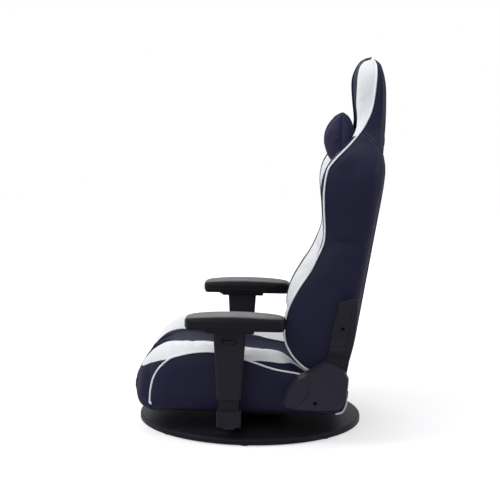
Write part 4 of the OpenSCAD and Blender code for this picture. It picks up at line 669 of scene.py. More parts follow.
# The white stripe inside the back's wing, and the white side panel of the headrest
WING_OUT = [(0.010, 7.0), (0.03, 7.3), (0.05, 7.9), (0.09, 8.9), (0.14, 9.3), (0.25, 9.3), (0.36, 9.35),
            (0.45, 9.4), (0.55, 9.3), (0.64, 9.35), (0.69, 9.9), (0.72, 11.2), (0.735, 13)]
WING_IN = [(0.010, 13), (0.3, 13), (0.6, 13), (0.735, 13)]
HEAD_LOW = [(0.764, 7.0), (0.755, 8.0), (0.744, 9.5)]
HEAD_IN = [(0.744, 9.5), (0.78, 10), (0.84, 10), (0.93, 10), (0.965, 10), (0.984, 9.2), (0.996, 8.0)]
seat_seams = {
    "piping": [(0.086, 6), (0.11, 6), (0.157, 6), (0.25, 6), (0.4, 6), (0.6, 6), (0.8, 6), (0.97, 6)],
    "nose": [(0.030, 16), (0.030, 13), (0.030, 11.6), (0.030, 9.0)],
    "stripe_out": STRIPE_OUT,
    "stripe_in": STRIPE_IN,
    "groove": [(0.06, 13), (0.25, 13), (0.5, 13), (0.85, 13)],
}
back_seams = {
    "piping": [(0.0137, 7), (0.091, 7), (0.2, 7), (0.35, 7), (0.5, 7), (0.7, 7), (0.85, 7), (0.996, 7)],
    "rear": [(0.0, 3), (0.2, 3), (0.4, 3), (0.6, 3), (0.8, 3), (0.97, 3)],
    "wing_in": WING_IN,
    "wing_out": WING_OUT,
    "head_low": HEAD_LOW,
    "head_in": HEAD_IN,
    "shoulder": [(0.765, 7.0), (0.764, 5.8), (0.748, 4.7), (0.72, 3.0)],
    "shoulder_rear": [(0.72, 3), (0.712, 2), (0.71, 1), (0.71, 0)],
    "shoulder_front": [(0.735, 13), (0.738, 14), (0.74, 15), (0.74, 16)],
    "lumbar": [(0.30, 13), (0.302, 14), (0.304, 15), (0.304, 16)],
}
seat_curves = {name: curve(at) for name, at in seat_seams.items()}
back_curves = {name: curve(at) for name, at in back_seams.items()}
seat_white = [seat_curves["stripe_out"] + seat_curves["stripe_in"][::-1]]
back_white = [back_curves["wing_out"] + back_curves["wing_in"][::-1],
              back_curves["head_low"] + back_curves["head_in"] + [(0.9965, 7.0)]]
print("seams", len(seat_curves) + len(back_curves))


# %% [markdown]
# ## Cutting the panels
# First the chosen vertices slide onto the seams. Then each quad that a seam crosses from
# corner to corner is cut in two. The seam's edges are creased, so that the smoothing
# modifier keeps them as one clean line. At last each face learns its colour.


# %% Slide vertices onto the seams
def slide_onto_seams(mesh, form, us, first_ring, columns, curves):
    """Moves grid vertices onto the seams and gives each seam's chain of grid places."""
    half_at, seam_point, move = form
    around = 2*(len(columns) - 1)
    taken = {}
    chains = [snap_seam(dense, us, columns, taken) for dense in curves.values()]
    us_now, ts_now, co = attribute_of(mesh, "u"), attribute_of(mesh, "t"), places(mesh)
    for (ring, column), (u, t) in taken.items():
        point = surface_point(half_at, seam_point, u, t)
        for index, place in ((column, point), ((around - column) % around, point*MIRROR)):
            vertex = (first_ring + ring)*around + index
            us_now[vertex], ts_now[vertex] = u, t
            co[vertex] = move(place)
    keep_attribute(mesh, "u", us_now)
    keep_attribute(mesh, "t", ts_now)
    put_places(mesh, co)
    return chains


print("sliding ready")


# %% Cut quads along the seams
def cut_along_seams(mesh, first_ring, around, chains):
    """Cuts the quads that seams cross, creases the seams and gives their vertices."""
    build = bmesh.new()
    build.from_mesh(mesh)
    build.verts.ensure_lookup_table()
    sharp = build.edges.layers.float.new("crease_edge")
    on_seam = set()
    for chain in chains:
        for side in (1, -1):
            verts = [build.verts[(first_ring + i)*around + (side*j) % around] for i, j in chain]
            on_seam.update(v.index for v in verts)
            for a, b in zip(verts, verts[1:]):
                shared = [f for f in a.link_faces if b in f.verts]
                if shared and not any(b in e.verts for e in a.link_edges):
                    bmesh.utils.face_split(shared[0], a, b)
                for edge in a.link_edges:
                    if b in edge.verts:
                        edge[sharp] = 1
    build.to_mesh(mesh)
    build.free()
    mesh.shade_smooth()
    return on_seam


print("cutting ready")


# %% Mark the panels
def mark_panels(mesh, white):
    """Marks each face as navy (0) or white (1) and gives the number of white ones."""
    us_now, ts_now = attribute_of(mesh, "u"), attribute_of(mesh, "t")
    pale = []
    for face in mesh.polygons:
        corners = list(face.vertices)
        u, t = us_now[corners].mean(), ts_now[corners].mean()
        pale.append(float(any(within(u, t, polygon) for polygon in white)))
    mesh.attributes.new("white", "FLOAT", "FACE").data.foreach_set("value", pale)
    return int(sum(pale))


def tree_of(points):
    """A search tree that finds the point nearest to a place."""
    tree = KDTree(len(points))
    for i, point in enumerate(points):
        tree.insert(point, i)
    tree.balance()
    return tree


def seam_distances(mesh, lines, names):
    """How far each vertex lies from the named seams."""
    tree = tree_of([p for name in names for line in lines[name] for p in line])
    return np.array([tree.find(c)[2] for c in places(mesh)])


print("marking ready")


# %% Cut both covers
def cut_panels(piece, form, us, first_ring, steps, curves, white):
    """Takes one cover through all the steps of cutting and gives its seam lines."""
    mesh = piece.data
    columns = ring_places(steps)[:sum(steps) + 1]
    chains = slide_onto_seams(mesh, form, us, first_ring, columns, curves)
    on_seam = cut_along_seams(mesh, first_ring, 2*sum(steps), chains)
    white_faces = mark_panels(mesh, white)
    lines = {name: lay_seam(form, dense) for name, dense in curves.items()}
    seam = seam_distances(mesh, lines, lines)
    seam[list(on_seam)] = 0
    keep_attribute(mesh, "seam", seam)
    keep_attribute(mesh, "piping", seam_distances(mesh, lines, ["piping"]))
    print(piece.name, "vertices on seams", len(on_seam), "white faces", white_faces)
    return lines


seat_lines = cut_panels(seat_cover, SEAT_FORM, seat_us, len(nose_close), SEAT_STEPS,
                        seat_curves, seat_white)
back_lines = cut_panels(back_cover, BACK_FORM, back_us, 0, BACK_STEPS, back_curves, back_white)

# %% [markdown]
# ## Stuffing the covers
# A real cover is pulled over foam, and the foam swells between the seams that hold it
# down. Blender's cloth solver does just that: the vertices near a seam are pinned, a
# pressure from inside pushes the rest out, and after twenty frames the shape is kept.
# Movement is capped, so that the cover never leaves the room that the frame gives it.

# %% Seam dips
SIM_FRAMES = 20
PIN_REACH = 0.0035
SEAM_DEPTH = 0.0022
SEAM_WIDTH = 0.0065
PRESSURE = 4.0
HOLD_FADE = 4


def rise(value, start, stop):
    """0 before start, 1 after stop, and a smooth ramp between."""
    v = np.clip((value - start)/(stop - start), 0, 1)
    return v*v*(3 - 2*v)


def draw_in(piece, depth=SEAM_DEPTH, width=SEAM_WIDTH, spare=None):
    """Pulls the cover in along its seams, except near a seam that is spared."""
    mesh = piece.data
    distance = attribute_of(mesh, "seam")
    pull = depth*np.exp(-(distance/width)**2)
    if spare is not None:
        pull *= np.clip(attribute_of(mesh, spare)/width, 0, 1)
    put_places(mesh, places(mesh) - normals(mesh)*pull[:, None])


print("a seam dips by", SEAM_DEPTH, "m")


# %% Stuffing
def add_cloth(piece):
    """A cloth modifier that keeps the group "held" still and blows up the rest."""
    cloth = piece.modifiers.new("stuffing", "CLOTH")
    cloth.settings.quality = 4
    cloth.settings.mass = 0.25
    cloth.settings.tension_stiffness = 9
    cloth.settings.compression_stiffness = 9
    cloth.settings.shear_stiffness = 6
    cloth.settings.bending_stiffness = 0.35
    cloth.settings.use_pressure = True
    cloth.settings.uniform_pressure_force = PRESSURE
    cloth.settings.vertex_group_mass = "held"
    cloth.settings.pin_stiffness = 1
    cloth.settings.shrink_min = -0.012
    cloth.settings.effector_weights.gravity = 0
    cloth.collision_settings.use_collision = False
    cloth.point_cache.frame_start = 1
    cloth.point_cache.frame_end = SIM_FRAMES
    return cloth


def stuff(piece, loose, cap):
    """Swells a cover; loose is 0 where it is held and 1 where it may move by the cap."""
    mesh = piece.data
    held = piece.vertex_groups.new(name="held")
    for i, amount in enumerate(loose):
        held.add([i], float(1 - min(1, amount*HOLD_FADE)), "REPLACE")
    rest = places(mesh)
    cloth = add_cloth(piece)
    for frame_number in range(1, SIM_FRAMES + 1):
        scene.frame_set(frame_number)
    swollen = places(piece.evaluated_get(bpy.context.evaluated_depsgraph_get()).data)
    piece.modifiers.remove(cloth)
    piece.vertex_groups.clear()
    scene.frame_set(1)
    shift = swollen - rest
    size = np.linalg.norm(shift, axis=1)
    shift *= np.minimum(1, loose*cap/np.maximum(size, 1e-9))[:, None]
    put_places(mesh, rest + shift)
    print(piece.name, "swelled by up to", round(1000*float(np.linalg.norm(shift, axis=1).max()), 1), "mm")


print("cloth frames", SIM_FRAMES)

# %% [markdown]
# ## How far the covers swell
# Every vertex gets a number for how loose it is. The covers are held at their seams and
# ends and under the seat. They swell less, or not at all, where hard parts stand close:
# the lever beside the seat, and the moulded covers beside the lower backrest.

# %% Seat cover swells
SEAT_CAP = 0.003
LEVER_HOLD = 0.7
seat_u, seat_t = attribute_of(seat_cover.data, "u"), attribute_of(seat_cover.data, "t")
seat_loose = rise(attribute_of(seat_cover.data, "seam"), PIN_REACH, 0.03)
seat_loose *= rise(seat_u, 0.0, 0.06)*(1 - rise(seat_u, 0.66, 0.8))*rise(seat_t, 2.6, 3.6)
beside_lever = rise(seat_u, 0.44, 0.54)*(1 - rise(seat_u, 0.70, 0.80))*(1 - rise(seat_t, 5.2, 5.8))
seat_loose *= 1 - LEVER_HOLD*beside_lever
draw_in(seat_cover, spare="piping")
stuff(seat_cover, seat_loose, SEAT_CAP)

# %% Back cover swells
BACK_CAP = 0.0045
back_u, back_t = attribute_of(back_cover.data, "u"), attribute_of(back_cover.data, "t")
back_loose = rise(attribute_of(back_cover.data, "seam"), PIN_REACH, 0.035)
back_loose *= rise(back_u, 0.03, 0.12)*(1 - rise(back_u, 0.985, 1))
beside_arm = (1 - rise(back_u, 0.26, 0.34))*rise(back_t, 2.0, 3.2)*(1 - rise(back_t, 6.2, 6.9))
back_loose *= 1 - beside_arm
draw_in(back_cover, spare="piping")
stuff(back_cover, back_loose, BACK_CAP)

# %% [markdown]
# ## Finishing the covers
# A smoothing modifier splits every quad in four and rounds the result.


# %% Finish the covers
def smoothed(piece):
    """Gives a piece one level of smoothing."""
    smoother = piece.modifiers.new("smoother", "SUBSURF")
    smoother.levels = 1
    smoother.render_levels = 1


for cover in (seat_cover, back_cover):
    smoothed(cover)
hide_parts("seat_cushion")
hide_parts("back_cushion")
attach(seat_cover, "seat")
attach(back_cover, "backrest")
print("covers finished", seat_cover.name, back_cover.name)

# %% [markdown]
# ## Piping
# White piping is a cord wrapped in cover material and caught in the seam between the
# side panels and the front. It follows the cover's own seam vertices after stuffing, so
# it keeps to the seam, and its middle lies a little outside the cover.

# %% Tube
PIPING_R = 0.0023
PIPING_SIDES = 12
PIPING_OUT = 0.0019
PIPING_STEP = 0.005


def tube(name, path, radius):
    """A closed round tube along a path, carried forward without twist."""
    ahead = np.gradient(path, axis=0)
    ahead /= np.linalg.norm(ahead, axis=1)[:, None]
    side = np.array((1.0, 0, 0))
    angles = np.linspace(0, 2*math.pi, PIPING_SIDES, endpoint=False)
    rings = []
    for p, forward in zip(path, ahead):
        side = side - forward*np.dot(side, forward)
        side /= np.linalg.norm(side)
        up = np.cross(forward, side)
        rings.append(p + radius*(np.cos(angles)[:, None]*side + np.sin(angles)[:, None]*up))
    return loft(name, rings, np.linspace(0, 1, len(path)), np.arange(PIPING_SIDES))


print("piping is", round(2000*PIPING_R, 1), "mm thick")

# %% Piping
SAME_PLACE = 0.01


def seam_column(piece, t_value, span, sign):
    """The cover's vertices along one section place, in order, with their normals."""
    mesh = piece.data
    co, no = places(mesh), normals(mesh)
    us, ts = attribute_of(mesh, "u"), attribute_of(mesh, "t")
    on_line = (np.abs(ts - t_value) < SAME_PLACE) & (us >= span[0]) & (us <= span[1])
    chosen = np.where(on_line & (co[:, 0]*sign > 0))[0]
    order = chosen[np.argsort(us[chosen], kind="stable")]
    return co[order], no[order]


def outwards(piece, points):
    """The cover's normal beside each point."""
    no = normals(piece.data)
    tree = tree_of(places(piece.data))
    return np.array([no[tree.find(p)[1]] for p in points])


def piping(name, piece, form, span, sign, node_name, body, head=(), tail=()):
    """One run of piping; head and tail are where it goes on past the ends of its seam."""
    half_at, seam_point, move = form
    co, no = seam_column(piece, seam_point, span, sign)
    path = co + no*PIPING_OUT
    for part, first in ((head, True), (tail, False)):
        if part:
            more = [surface_point(half_at, seam_point, u, t)*(sign, 1, 1) for u, t in curve(part)]
            more = move(np.array(more))
            more = more + outwards(piece, more)*PIPING_OUT
            path = np.concatenate([more, path] if first else [path, more])
    length = distances_along(path)[-1]
    path = resampled(path, np.linspace(0, length, round(length/PIPING_STEP)))
    for _ in range(2):
        path[1:-1] = (path[:-2] + 2*path[1:-1] + path[2:])/4
    cord_piece = tube(name, path, PIPING_R)
    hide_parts(node_name)
    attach(cord_piece, body)
    return cord_piece


print("piping stands", round(1000*PIPING_OUT, 1), "mm out")

# %% Piping runs
SEAT_HEAD = [(0.092, 3.6), (0.088, 4.5), (0.086, 5.4)]
SEAT_TAIL = [(1, 5.6), (0.998, 4.2), (0.988, 3.5), (0.972, 3.25), (0.95, 3.2)]
SEAT_PIPED = (0.0855, 0.992)
BACK_PIPED = (0.0137, 0.999)
pipings = []
for sign, side_name in ((1, "left"), (-1, "right")):
    pipings.append(piping(f"SeatPiping_{side_name}", seat_cover, SEAT_FORM, SEAT_PIPED, sign,
                          f"seat_piping_{side_name}", "seat", SEAT_HEAD, SEAT_TAIL))
    pipings.append(piping(f"BackPiping_{side_name}", back_cover, BACK_FORM, BACK_PIPED, sign,
                          f"back_piping_{side_name}", "backrest"))
print("piping runs", len(pipings))

# %% [markdown]
# ## Topstitching
# Beside some of the seams a row of thick thread holds the folded edges down. Each stitch is a
# small bent rod of thread that dips into the cover at both ends, repeated along the seam.

# %% Stitches
STITCH_LENGTH = 0.0048
STITCH_PITCH = 0.0068
STITCH_R = 0.00042
STITCH_OFFSET = 0.0040
STITCH_PROUD = 0.6
STITCH_SIDES = 5
STITCH_BENDS = ((-0.5, -1.6), (-0.3, 0.3), (0.3, 0.3), (0.5, -1.6))


def stitch_row(vertices, faces, line, cover_tree, cover_no, side):
    """Adds the stitches of one row beside a seam line to lists of vertices and faces."""
    ahead = np.gradient(line, axis=0)
    ahead /= np.maximum(np.linalg.norm(ahead, axis=1), 1e-9)[:, None]
    step = max(1, round(STITCH_PITCH/SEAM_SAMPLE))
    angles = np.linspace(0, 2*math.pi, STITCH_SIDES, endpoint=False)
    ring = [(math.cos(a), math.sin(a)) for a in angles]
    for i in range(step, len(line) - step, step):
        _, found, _ = cover_tree.find(line[i])
        normal = cover_no[found]
        across = np.cross(normal, ahead[i])
        across /= max(np.linalg.norm(across), 1e-9)
        place = line[i] + across*STITCH_OFFSET*side
        co, found, _ = cover_tree.find(place)
        normal = cover_no[found]
        height = np.dot(place - np.array(co), normal)
        place = place - normal*(height - STITCH_R*STITCH_PROUD)
        start = len(vertices)
        for share, lift in STITCH_BENDS:
            centre = place + ahead[i]*STITCH_LENGTH*share + normal*STITCH_R*lift
            for c, s in ring:
                vertices.append(centre + STITCH_R*(c*across + s*normal))
        for k in range(len(STITCH_BENDS) - 1):
            first = start + k*STITCH_SIDES
            for j in range(STITCH_SIDES):
                a, b = first + j, first + (j + 1) % STITCH_SIDES
                faces.append((a, b, b + STITCH_SIDES, a + STITCH_SIDES))


print("one stitch every", round(STITCH_PITCH/SEAM_SAMPLE)*SEAM_SAMPLE, "m")


# %% Sew both covers
def stitch_piece(name, piece, lines, rows, body):
    """All of a cover's stitches in one mesh."""
    finished = piece.evaluated_get(bpy.context.evaluated_depsgraph_get())
    fine = finished.to_mesh()
    co, no = places(fine), normals(fine)
    finished.to_mesh_clear()
    tree = tree_of(co)
    vertices, faces = [], []
    for seam_name, sides in rows:
        for line in lines[seam_name]:
            mirrored = -1 if line[:, 0].mean() < 0 else 1
            for side in sides:
                stitch_row(vertices, faces, line, tree, no, side*mirrored)
    mesh = bpy.data.meshes.new(name)
    mesh.from_pydata([tuple(v) for v in vertices], [], faces)
    mesh.shade_smooth()
    thread = bpy.data.objects.new(name, mesh)
    scene.collection.objects.link(thread)
    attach(thread, body)
    print(name, "stitches", len(faces)//(STITCH_SIDES*(len(STITCH_BENDS) - 1)))
    return thread


seat_thread = stitch_piece("SeatStitches", seat_cover, seat_lines,
                           [("groove", (1,)), ("nose", (-1,))], "seat")
back_thread = stitch_piece("BackStitches", back_cover, back_lines,
                           [("shoulder", (1, -1)), ("shoulder_rear", (1, -1)), ("wing_in", (1,)),
                            ("shoulder_front", (1, -1)), ("lumbar", (1, -1))], "backrest")

# %% [markdown]
# ## The neck pillow
# The pillow is a small bolster between the headrest's side panels. Its ends show a seam
# from top to bottom: smooth cover in front of it, and a netted cloth behind it, made darker
# by painted shade in the holes of the net.

# %% Neck pillow
pillow_low, pillow_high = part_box("neck_pillow")
PILLOW_HALF_W = pillow_high.x
PILLOW_MIDDLE = 0.587
PILLOW_HEIGHT = 0.132
PILLOW_DEPTH = 0.074
PILLOW_GAP = 0.0017
PILLOW_OUTLINE = [(0.03, -0.36), (0.16, -0.47), (0.37, -0.497), (0.548, -0.44), (0.703, -0.324),
                  (0.806, -0.219), (0.878, -0.11), (0.898, 0.005), (0.858, 0.124), (0.76, 0.249),
                  (0.646, 0.376), (0.52, 0.465), (0.439, 0.483), (0.354, 0.481), (0.184, 0.383),
                  (0.007, 0.265), (-0.09, 0.15), (-0.06, -0.1)]
PILLOW_STEPS = [3]*len(PILLOW_OUTLINE)
PILLOW_SEAM_DEPTH = -0.0903
PILLOW_SEAM_HEIGHT = 0.641
PILLOW_SEAM_SLANT = 0.18
PILLOW_STATIONS = 44


def pillow_fill(v):
    """How full the pillow is at a share of its half width: slack at its ends."""
    return 0.96 + 0.04*math.sqrt(max(1 - abs(v)**5, 0))


def pillow_ring(v):
    """The pillow's outline at a share of its half width, just in front of the backrest."""
    f = pillow_fill(v)
    behind = [(PILLOW_MIDDLE + k*PILLOW_HEIGHT/10)/BACK_LENGTH for k in range(-5, 6)]
    rest = HIP_DEPTH*min(smooth(u, BACK_FRONT) for u in behind) - PILLOW_GAP
    outline = [np.array((v*PILLOW_HALF_W, rest - a*PILLOW_DEPTH*f, PILLOW_MIDDLE + b*PILLOW_HEIGHT*f))
               for a, b in PILLOW_OUTLINE]
    closed = outline + [outline[0]]
    return smooth_path(closed, PILLOW_STEPS, before=outline[-1], after=outline[1])[:-1]


pillow_vs = [math.sin(math.pi/2*(-1 + 2*k/PILLOW_STATIONS)) for k in range(PILLOW_STATIONS + 1)]
pillow_rings = [pillow_ring(v) for v in pillow_vs]


print("pillow rings", len(pillow_rings))

# %% Pillow ends
PILLOW_END_RINGS = 7
PILLOW_END_BULGE = 0.007
PILLOW_END_INSET = 0.0015


def end_rings(ring, outward):
    """The pillow's end: the outline shrinks to its middle and bulges a little."""
    ring = np.array(ring)
    middle = ring.mean(axis=0)
    made = []
    for k in range(1, PILLOW_END_RINGS + 1):
        share = 1 - k/(PILLOW_END_RINGS + 0.4)
        inner = middle + (ring - middle)*share
        bulge = outward*PILLOW_END_BULGE*math.sqrt(1 - share**2)
        inner[:, 0] += bulge - outward*PILLOW_END_INSET
        made.append(inner)
    return made


low_end = end_rings(pillow_rings[0], -1)[::-1]
high_end = end_rings(pillow_rings[-1], 1)
pillow_all = [on_back(r) for r in low_end + pillow_rings + high_end]
pillow = loft("NeckPillow", pillow_all, [-1.2]*len(low_end) + pillow_vs + [1.2]*len(high_end),
              [i + k/n for i, n in enumerate(PILLOW_STEPS) for k in range(n)])
print("pillow", len(pillow.data.vertices))

# %% [markdown]
# ## Stuffing the pillow
# The pillow's seam is a slanted plane. Every vertex stores how far it lies behind it, and
# the material turns that number into smooth cloth, netted cloth and painted shade along the fold between.

# %% Stuff the pillow
PILLOW_CAP = 0.003
PILLOW_DIP_DEPTH = 0.0025
PILLOW_DIP_WIDTH = 0.006
pillow_local = (places(pillow.data) - lean_np[:3, 3]) @ lean_np[:3, :3]
seam_slope = (PILLOW_SEAM_HEIGHT - pillow_local[:, 2])*PILLOW_SEAM_SLANT
behind_seam = pillow_local[:, 1] - PILLOW_SEAM_DEPTH - seam_slope
keep_attribute(pillow.data, "netted", behind_seam)
keep_attribute(pillow.data, "seam", np.abs(behind_seam))
pillow_rear = pillow_local[:, 1].max()
pillow_loose = 1 - rise(pillow_local[:, 1], pillow_rear - 0.02, pillow_rear - 0.004)
pillow_loose *= rise(np.abs(behind_seam), 0.001, 0.012)
draw_in(pillow, PILLOW_DIP_DEPTH, PILLOW_DIP_WIDTH)
stuff(pillow, pillow_loose, PILLOW_CAP)
smoothed(pillow)
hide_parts("neck_pillow")
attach(pillow, "backrest")
print("pillow netted vertices", int((behind_seam > 0).sum()))

# %% [markdown]
# ## Arm pads
# An arm pad is skinned foam, moulded in one piece: a soft skin with a fine leather-like
# grain, a parting line round its lower edge, full rounded ends and a gentle crown.

# %% Arm pads
PAD_RINGS = [(0.000, 0.955, 0.90), (0.000, 0.985, 0.965), (0.030, 0.995, 0.985), (0.10, 0.999, 0.996),
             (0.20, 1.0, 1.0), (0.26, 1.0, 1.0), (0.275, 0.995, 0.988), (0.29, 1.0, 1.0), (0.40, 1.0, 1.0),
             (0.55, 1.0, 1.0), (0.66, 0.998, 0.993), (0.76, 0.991, 0.976), (0.85, 0.975, 0.94),
             (0.92, 0.945, 0.875), (0.965, 0.90, 0.78), (0.988, 0.82, 0.62), (1.0, 0.66, 0.40),
             (1.003, 0.42, 0.20), (1.004, 0.15, 0.06)]
PAD_CORNER_POWER = 4.2
PAD_END_DROP = 0.0066
PAD_POINTS = 96


def superellipse(angle, half_x, half_y, power):
    """A point of a rounded rectangle."""
    c, s = math.cos(angle), math.sin(angle)
    r = (abs(c)**power + abs(s)**power)**(-1/power)
    return half_x*r*c, half_y*r*s


def arm_pad(side_name, body):
    """One arm pad in the place of its CAD node."""
    low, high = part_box(f"arm_pad_{side_name}")
    middle = (low + high)/2
    half = (high - low)/2
    rings = []
    for height, y_share, x_share in PAD_RINGS:
        ring = []
        for k in range(PAD_POINTS):
            angle = 2*math.pi*k/PAD_POINTS
            x, y = superellipse(angle, half.x*x_share, half.y*y_share, PAD_CORNER_POWER)
            drop = PAD_END_DROP*height*(y/half.y)**2
            ring.append((middle.x + x, middle.y + y, low.z + 2*half.z*height - drop))
        rings.append(ring)
    pad = loft(f"ArmPad_{side_name}", rings, np.linspace(0, 1, len(rings)), np.arange(PAD_POINTS))
    smoothed(pad)
    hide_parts(f"arm_pad_{side_name}")
    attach(pad, body)
    return pad


arm_pads = [arm_pad("left", "pad_left"), arm_pad("right", "pad_right")]
print("arm pads", [pad.name for pad in arm_pads])

# %% [markdown]
# ## Shared effects
# Three effects turn up in several materials, so each is a node group that is built once:
# a pebbled leather grain, the spark-eroded texture of moulded plastic, and faint dust and
# handling marks that vary the gloss. A group only puts out numbers and normals. The shader
# itself stays in each material, with its fixed values on its own sockets.


# %% Node group helpers
def new_group(name, inputs, outputs):
    """A shader node group with float inputs and typed outputs."""
    group = bpy.data.node_groups.new(name, "ShaderNodeTree")
    for label, value in inputs:
        socket = group.interface.new_socket(label, in_out="INPUT", socket_type="NodeSocketFloat")
        socket.default_value = value
    for label, kind in outputs:
        group.interface.new_socket(label, in_out="OUTPUT", socket_type=kind)
    start = group.nodes.new("NodeGroupInput")
    stop = group.nodes.new("NodeGroupOutput")
    return group, start, stop


def node(tree, kind, values=None, links=None, **settings):
    """A node with its settings, its fixed values and its links, given by input name or number."""
    made = tree.nodes.new(kind)
    for key, value in settings.items():
        setattr(made, key, value)
    for key, value in (values or {}).items():
        made.inputs[key].default_value = value
    for key, source in (links or {}).items():
        tree.links.new(source, made.inputs[key])
    return made


def arithmetic(tree, operation, a, b=None, c=None):
    """A Math node on sockets or plain numbers."""
    made = tree.nodes.new("ShaderNodeMath")
    made.operation = operation
    for i, value in enumerate((a, b, c)):
        if value is None:
            continue
        if isinstance(value, (int, float)):
            made.inputs[i].default_value = value
        else:
            tree.links.new(value, made.inputs[i])
    return made.outputs[0]


def ramp(tree, source, low, high):
    """0 below low, 1 above high, with a smooth step between."""
    made = node(tree, "ShaderNodeMapRange",
                {"From Min": low, "From Max": high, "To Min": 0.0, "To Max": 1.0},
                {"Value": source}, interpolation_type="SMOOTHSTEP", clamp=True)
    return made.outputs["Result"]


print("group helpers ready")

# %% [markdown]
# ## Leather grain
# The distance to the edge of a Voronoi cell makes round pebbles with valleys between
# them. A broad noise crosses its middle value along wandering lines, and those become
# the creases.


# %% Leather grain group
def build_leather_grain():
    """Pebbled grain with fine creases, as a height."""
    group, start, stop = new_group("LeatherGrain", [("Size", 1.4), ("Creases", 0.5)],
                                   [("Height", "NodeSocketFloat")])
    spot = node(group, "ShaderNodeTexCoord").outputs["Object"]
    scale = arithmetic(group, "DIVIDE", 1000.0, start.outputs["Size"])
    cells = node(group, "ShaderNodeTexVoronoi", {"Randomness": 1.0},
                 {"Vector": spot, "Scale": scale}, feature="DISTANCE_TO_EDGE")
    pebbles = ramp(group, cells.outputs["Distance"], 0.0, 0.28)
    fold_scale = arithmetic(group, "MULTIPLY", scale, 0.045)
    folds = node(group, "ShaderNodeTexNoise", {"Detail": 4.0, "Roughness": 0.6, "Distortion": 0.7},
                 {"Vector": spot, "Scale": fold_scale})
    crease = arithmetic(group, "ABSOLUTE", arithmetic(group, "SUBTRACT", folds.outputs["Fac"], 0.5))
    crease = ramp(group, crease, 0.0, 0.05)
    cut_in = arithmetic(group, "SUBTRACT", crease, 1.0)
    creased = arithmetic(group, "MULTIPLY", cut_in, start.outputs["Creases"])
    height = arithmetic(group, "ADD", pebbles, creased)
    group.links.new(height, stop.inputs["Height"])
    return group


leather_grain = build_leather_grain()
print("group", leather_grain.name)


# %% Moulded texture group
def build_moulded_texture():
    """The fine sandy texture that a spark-eroded mould leaves."""
    group, start, stop = new_group("MouldedTexture", [("Size", 0.6)], [("Height", "NodeSocketFloat")])
    spot = node(group, "ShaderNodeTexCoord").outputs["Object"]
    scale = arithmetic(group, "DIVIDE", 1000.0, start.outputs["Size"])
    sand = node(group, "ShaderNodeTexNoise", {"Detail": 3.0, "Roughness": 0.7},
                {"Vector": spot, "Scale": scale})
    group.links.new(sand.outputs["Fac"], stop.inputs["Height"])
    return group


moulded_texture = build_moulded_texture()
print("group", moulded_texture.name)

# %% [markdown]
# ## Dust and handling
# Soft clouds make the gloss and the colour wander a little. The scratches are a noise
# that is stretched hard along one direction, of which only the highest part is kept.


# %% Dust and handling group
def build_handling_marks():
    """Broad soft clouds and a few fine scratches, as numbers round zero and a scratch mask."""
    group, start, stop = new_group("HandlingMarks", [("Cloud Size", 90.0), ("Scratches", 0.3)],
                                   [("Cloud", "NodeSocketFloat"), ("Scratch", "NodeSocketFloat")])
    spot = node(group, "ShaderNodeTexCoord").outputs["Object"]
    scale = arithmetic(group, "DIVIDE", 1000.0, start.outputs["Cloud Size"])
    cloud = node(group, "ShaderNodeTexNoise", {"Detail": 5.0, "Roughness": 0.62},
                 {"Vector": spot, "Scale": scale})
    group.links.new(arithmetic(group, "SUBTRACT", cloud.outputs["Fac"], 0.5), stop.inputs["Cloud"])
    stretched = node(group, "ShaderNodeMapping",
                     {"Scale": (18.0, 3.0, 210.0), "Rotation": (0.3, 0.8, 0.5)}, {"Vector": spot})
    hair = node(group, "ShaderNodeTexNoise", {"Scale": 2.2, "Detail": 2.0},
                {"Vector": stretched.outputs["Vector"]})
    thin = ramp(group, hair.outputs["Fac"], 0.69, 0.73)
    group.links.new(arithmetic(group, "MULTIPLY", thin, start.outputs["Scratches"]), stop.inputs["Scratch"])
    return group


handling_marks = build_handling_marks()
print("groups", [g.name for g in bpy.data.node_groups])

# %% [markdown]
# ## Material helpers
# Every material starts with a Principled shader that has its fixed values on its own
# sockets. Colours are given as hex codes, which are sRGB, and turned into the linear
# numbers that the shader takes.


# %% Material helpers
def srgb(code):
    """A hex colour as the linear numbers that the shader takes."""
    parts = [int(code[i:i + 2], 16)/255 for i in (1, 3, 5)]
    return tuple(p/12.92 if p <= 0.04045 else ((p + 0.055)/1.055)**2.4 for p in parts) + (1,)


def new_material(name, **values):
    """A material with a Principled shader and its fixed values."""
    material = bpy.data.materials.new(name)
    material.use_nodes = True
    tree = material.node_tree
    shader = next(n for n in tree.nodes if n.type == "BSDF_PRINCIPLED")
    for key, value in values.items():
        shader.inputs[key.replace("_", " ")].default_value = value
    return material, tree, shader


def use_group(tree, group, **values):
    """A group placed in a material with its own values."""
    made = tree.nodes.new("ShaderNodeGroup")
    made.node_tree = group
    for key, value in values.items():
        made.inputs[key.replace("_", " ")].default_value = value
    return made


def bumped(tree, shader, height, distance, strength):
    """Feeds a height to the shader's normal; a height of 1 stands for the distance in metres."""
    bump = node(tree, "ShaderNodeBump", {"Strength": strength, "Distance": distance},
                {"Height": height})
    tree.links.new(bump.outputs["Normal"], shader.inputs["Normal"])


def mixed_colour(tree, mask, first, second):
    """Two colours mixed by a mask; a colour may be a socket."""
    mix = tree.nodes.new("ShaderNodeMix")
    mix.data_type = "RGBA"
    tree.links.new(mask, mix.inputs["Factor"])
    for socket, value in ((mix.inputs[6], first), (mix.inputs[7], second)):
        if isinstance(value, tuple):
            socket.default_value = value
        else:
            tree.links.new(value, socket)
    return mix.outputs[2]


def roughness_of(tree, shader, base, cloud, amount):
    """Roughness that wanders round a base value."""
    rough = arithmetic(tree, "MULTIPLY_ADD", cloud, amount, base)
    tree.links.new(rough, shader.inputs["Roughness"])


print("material helpers ready")
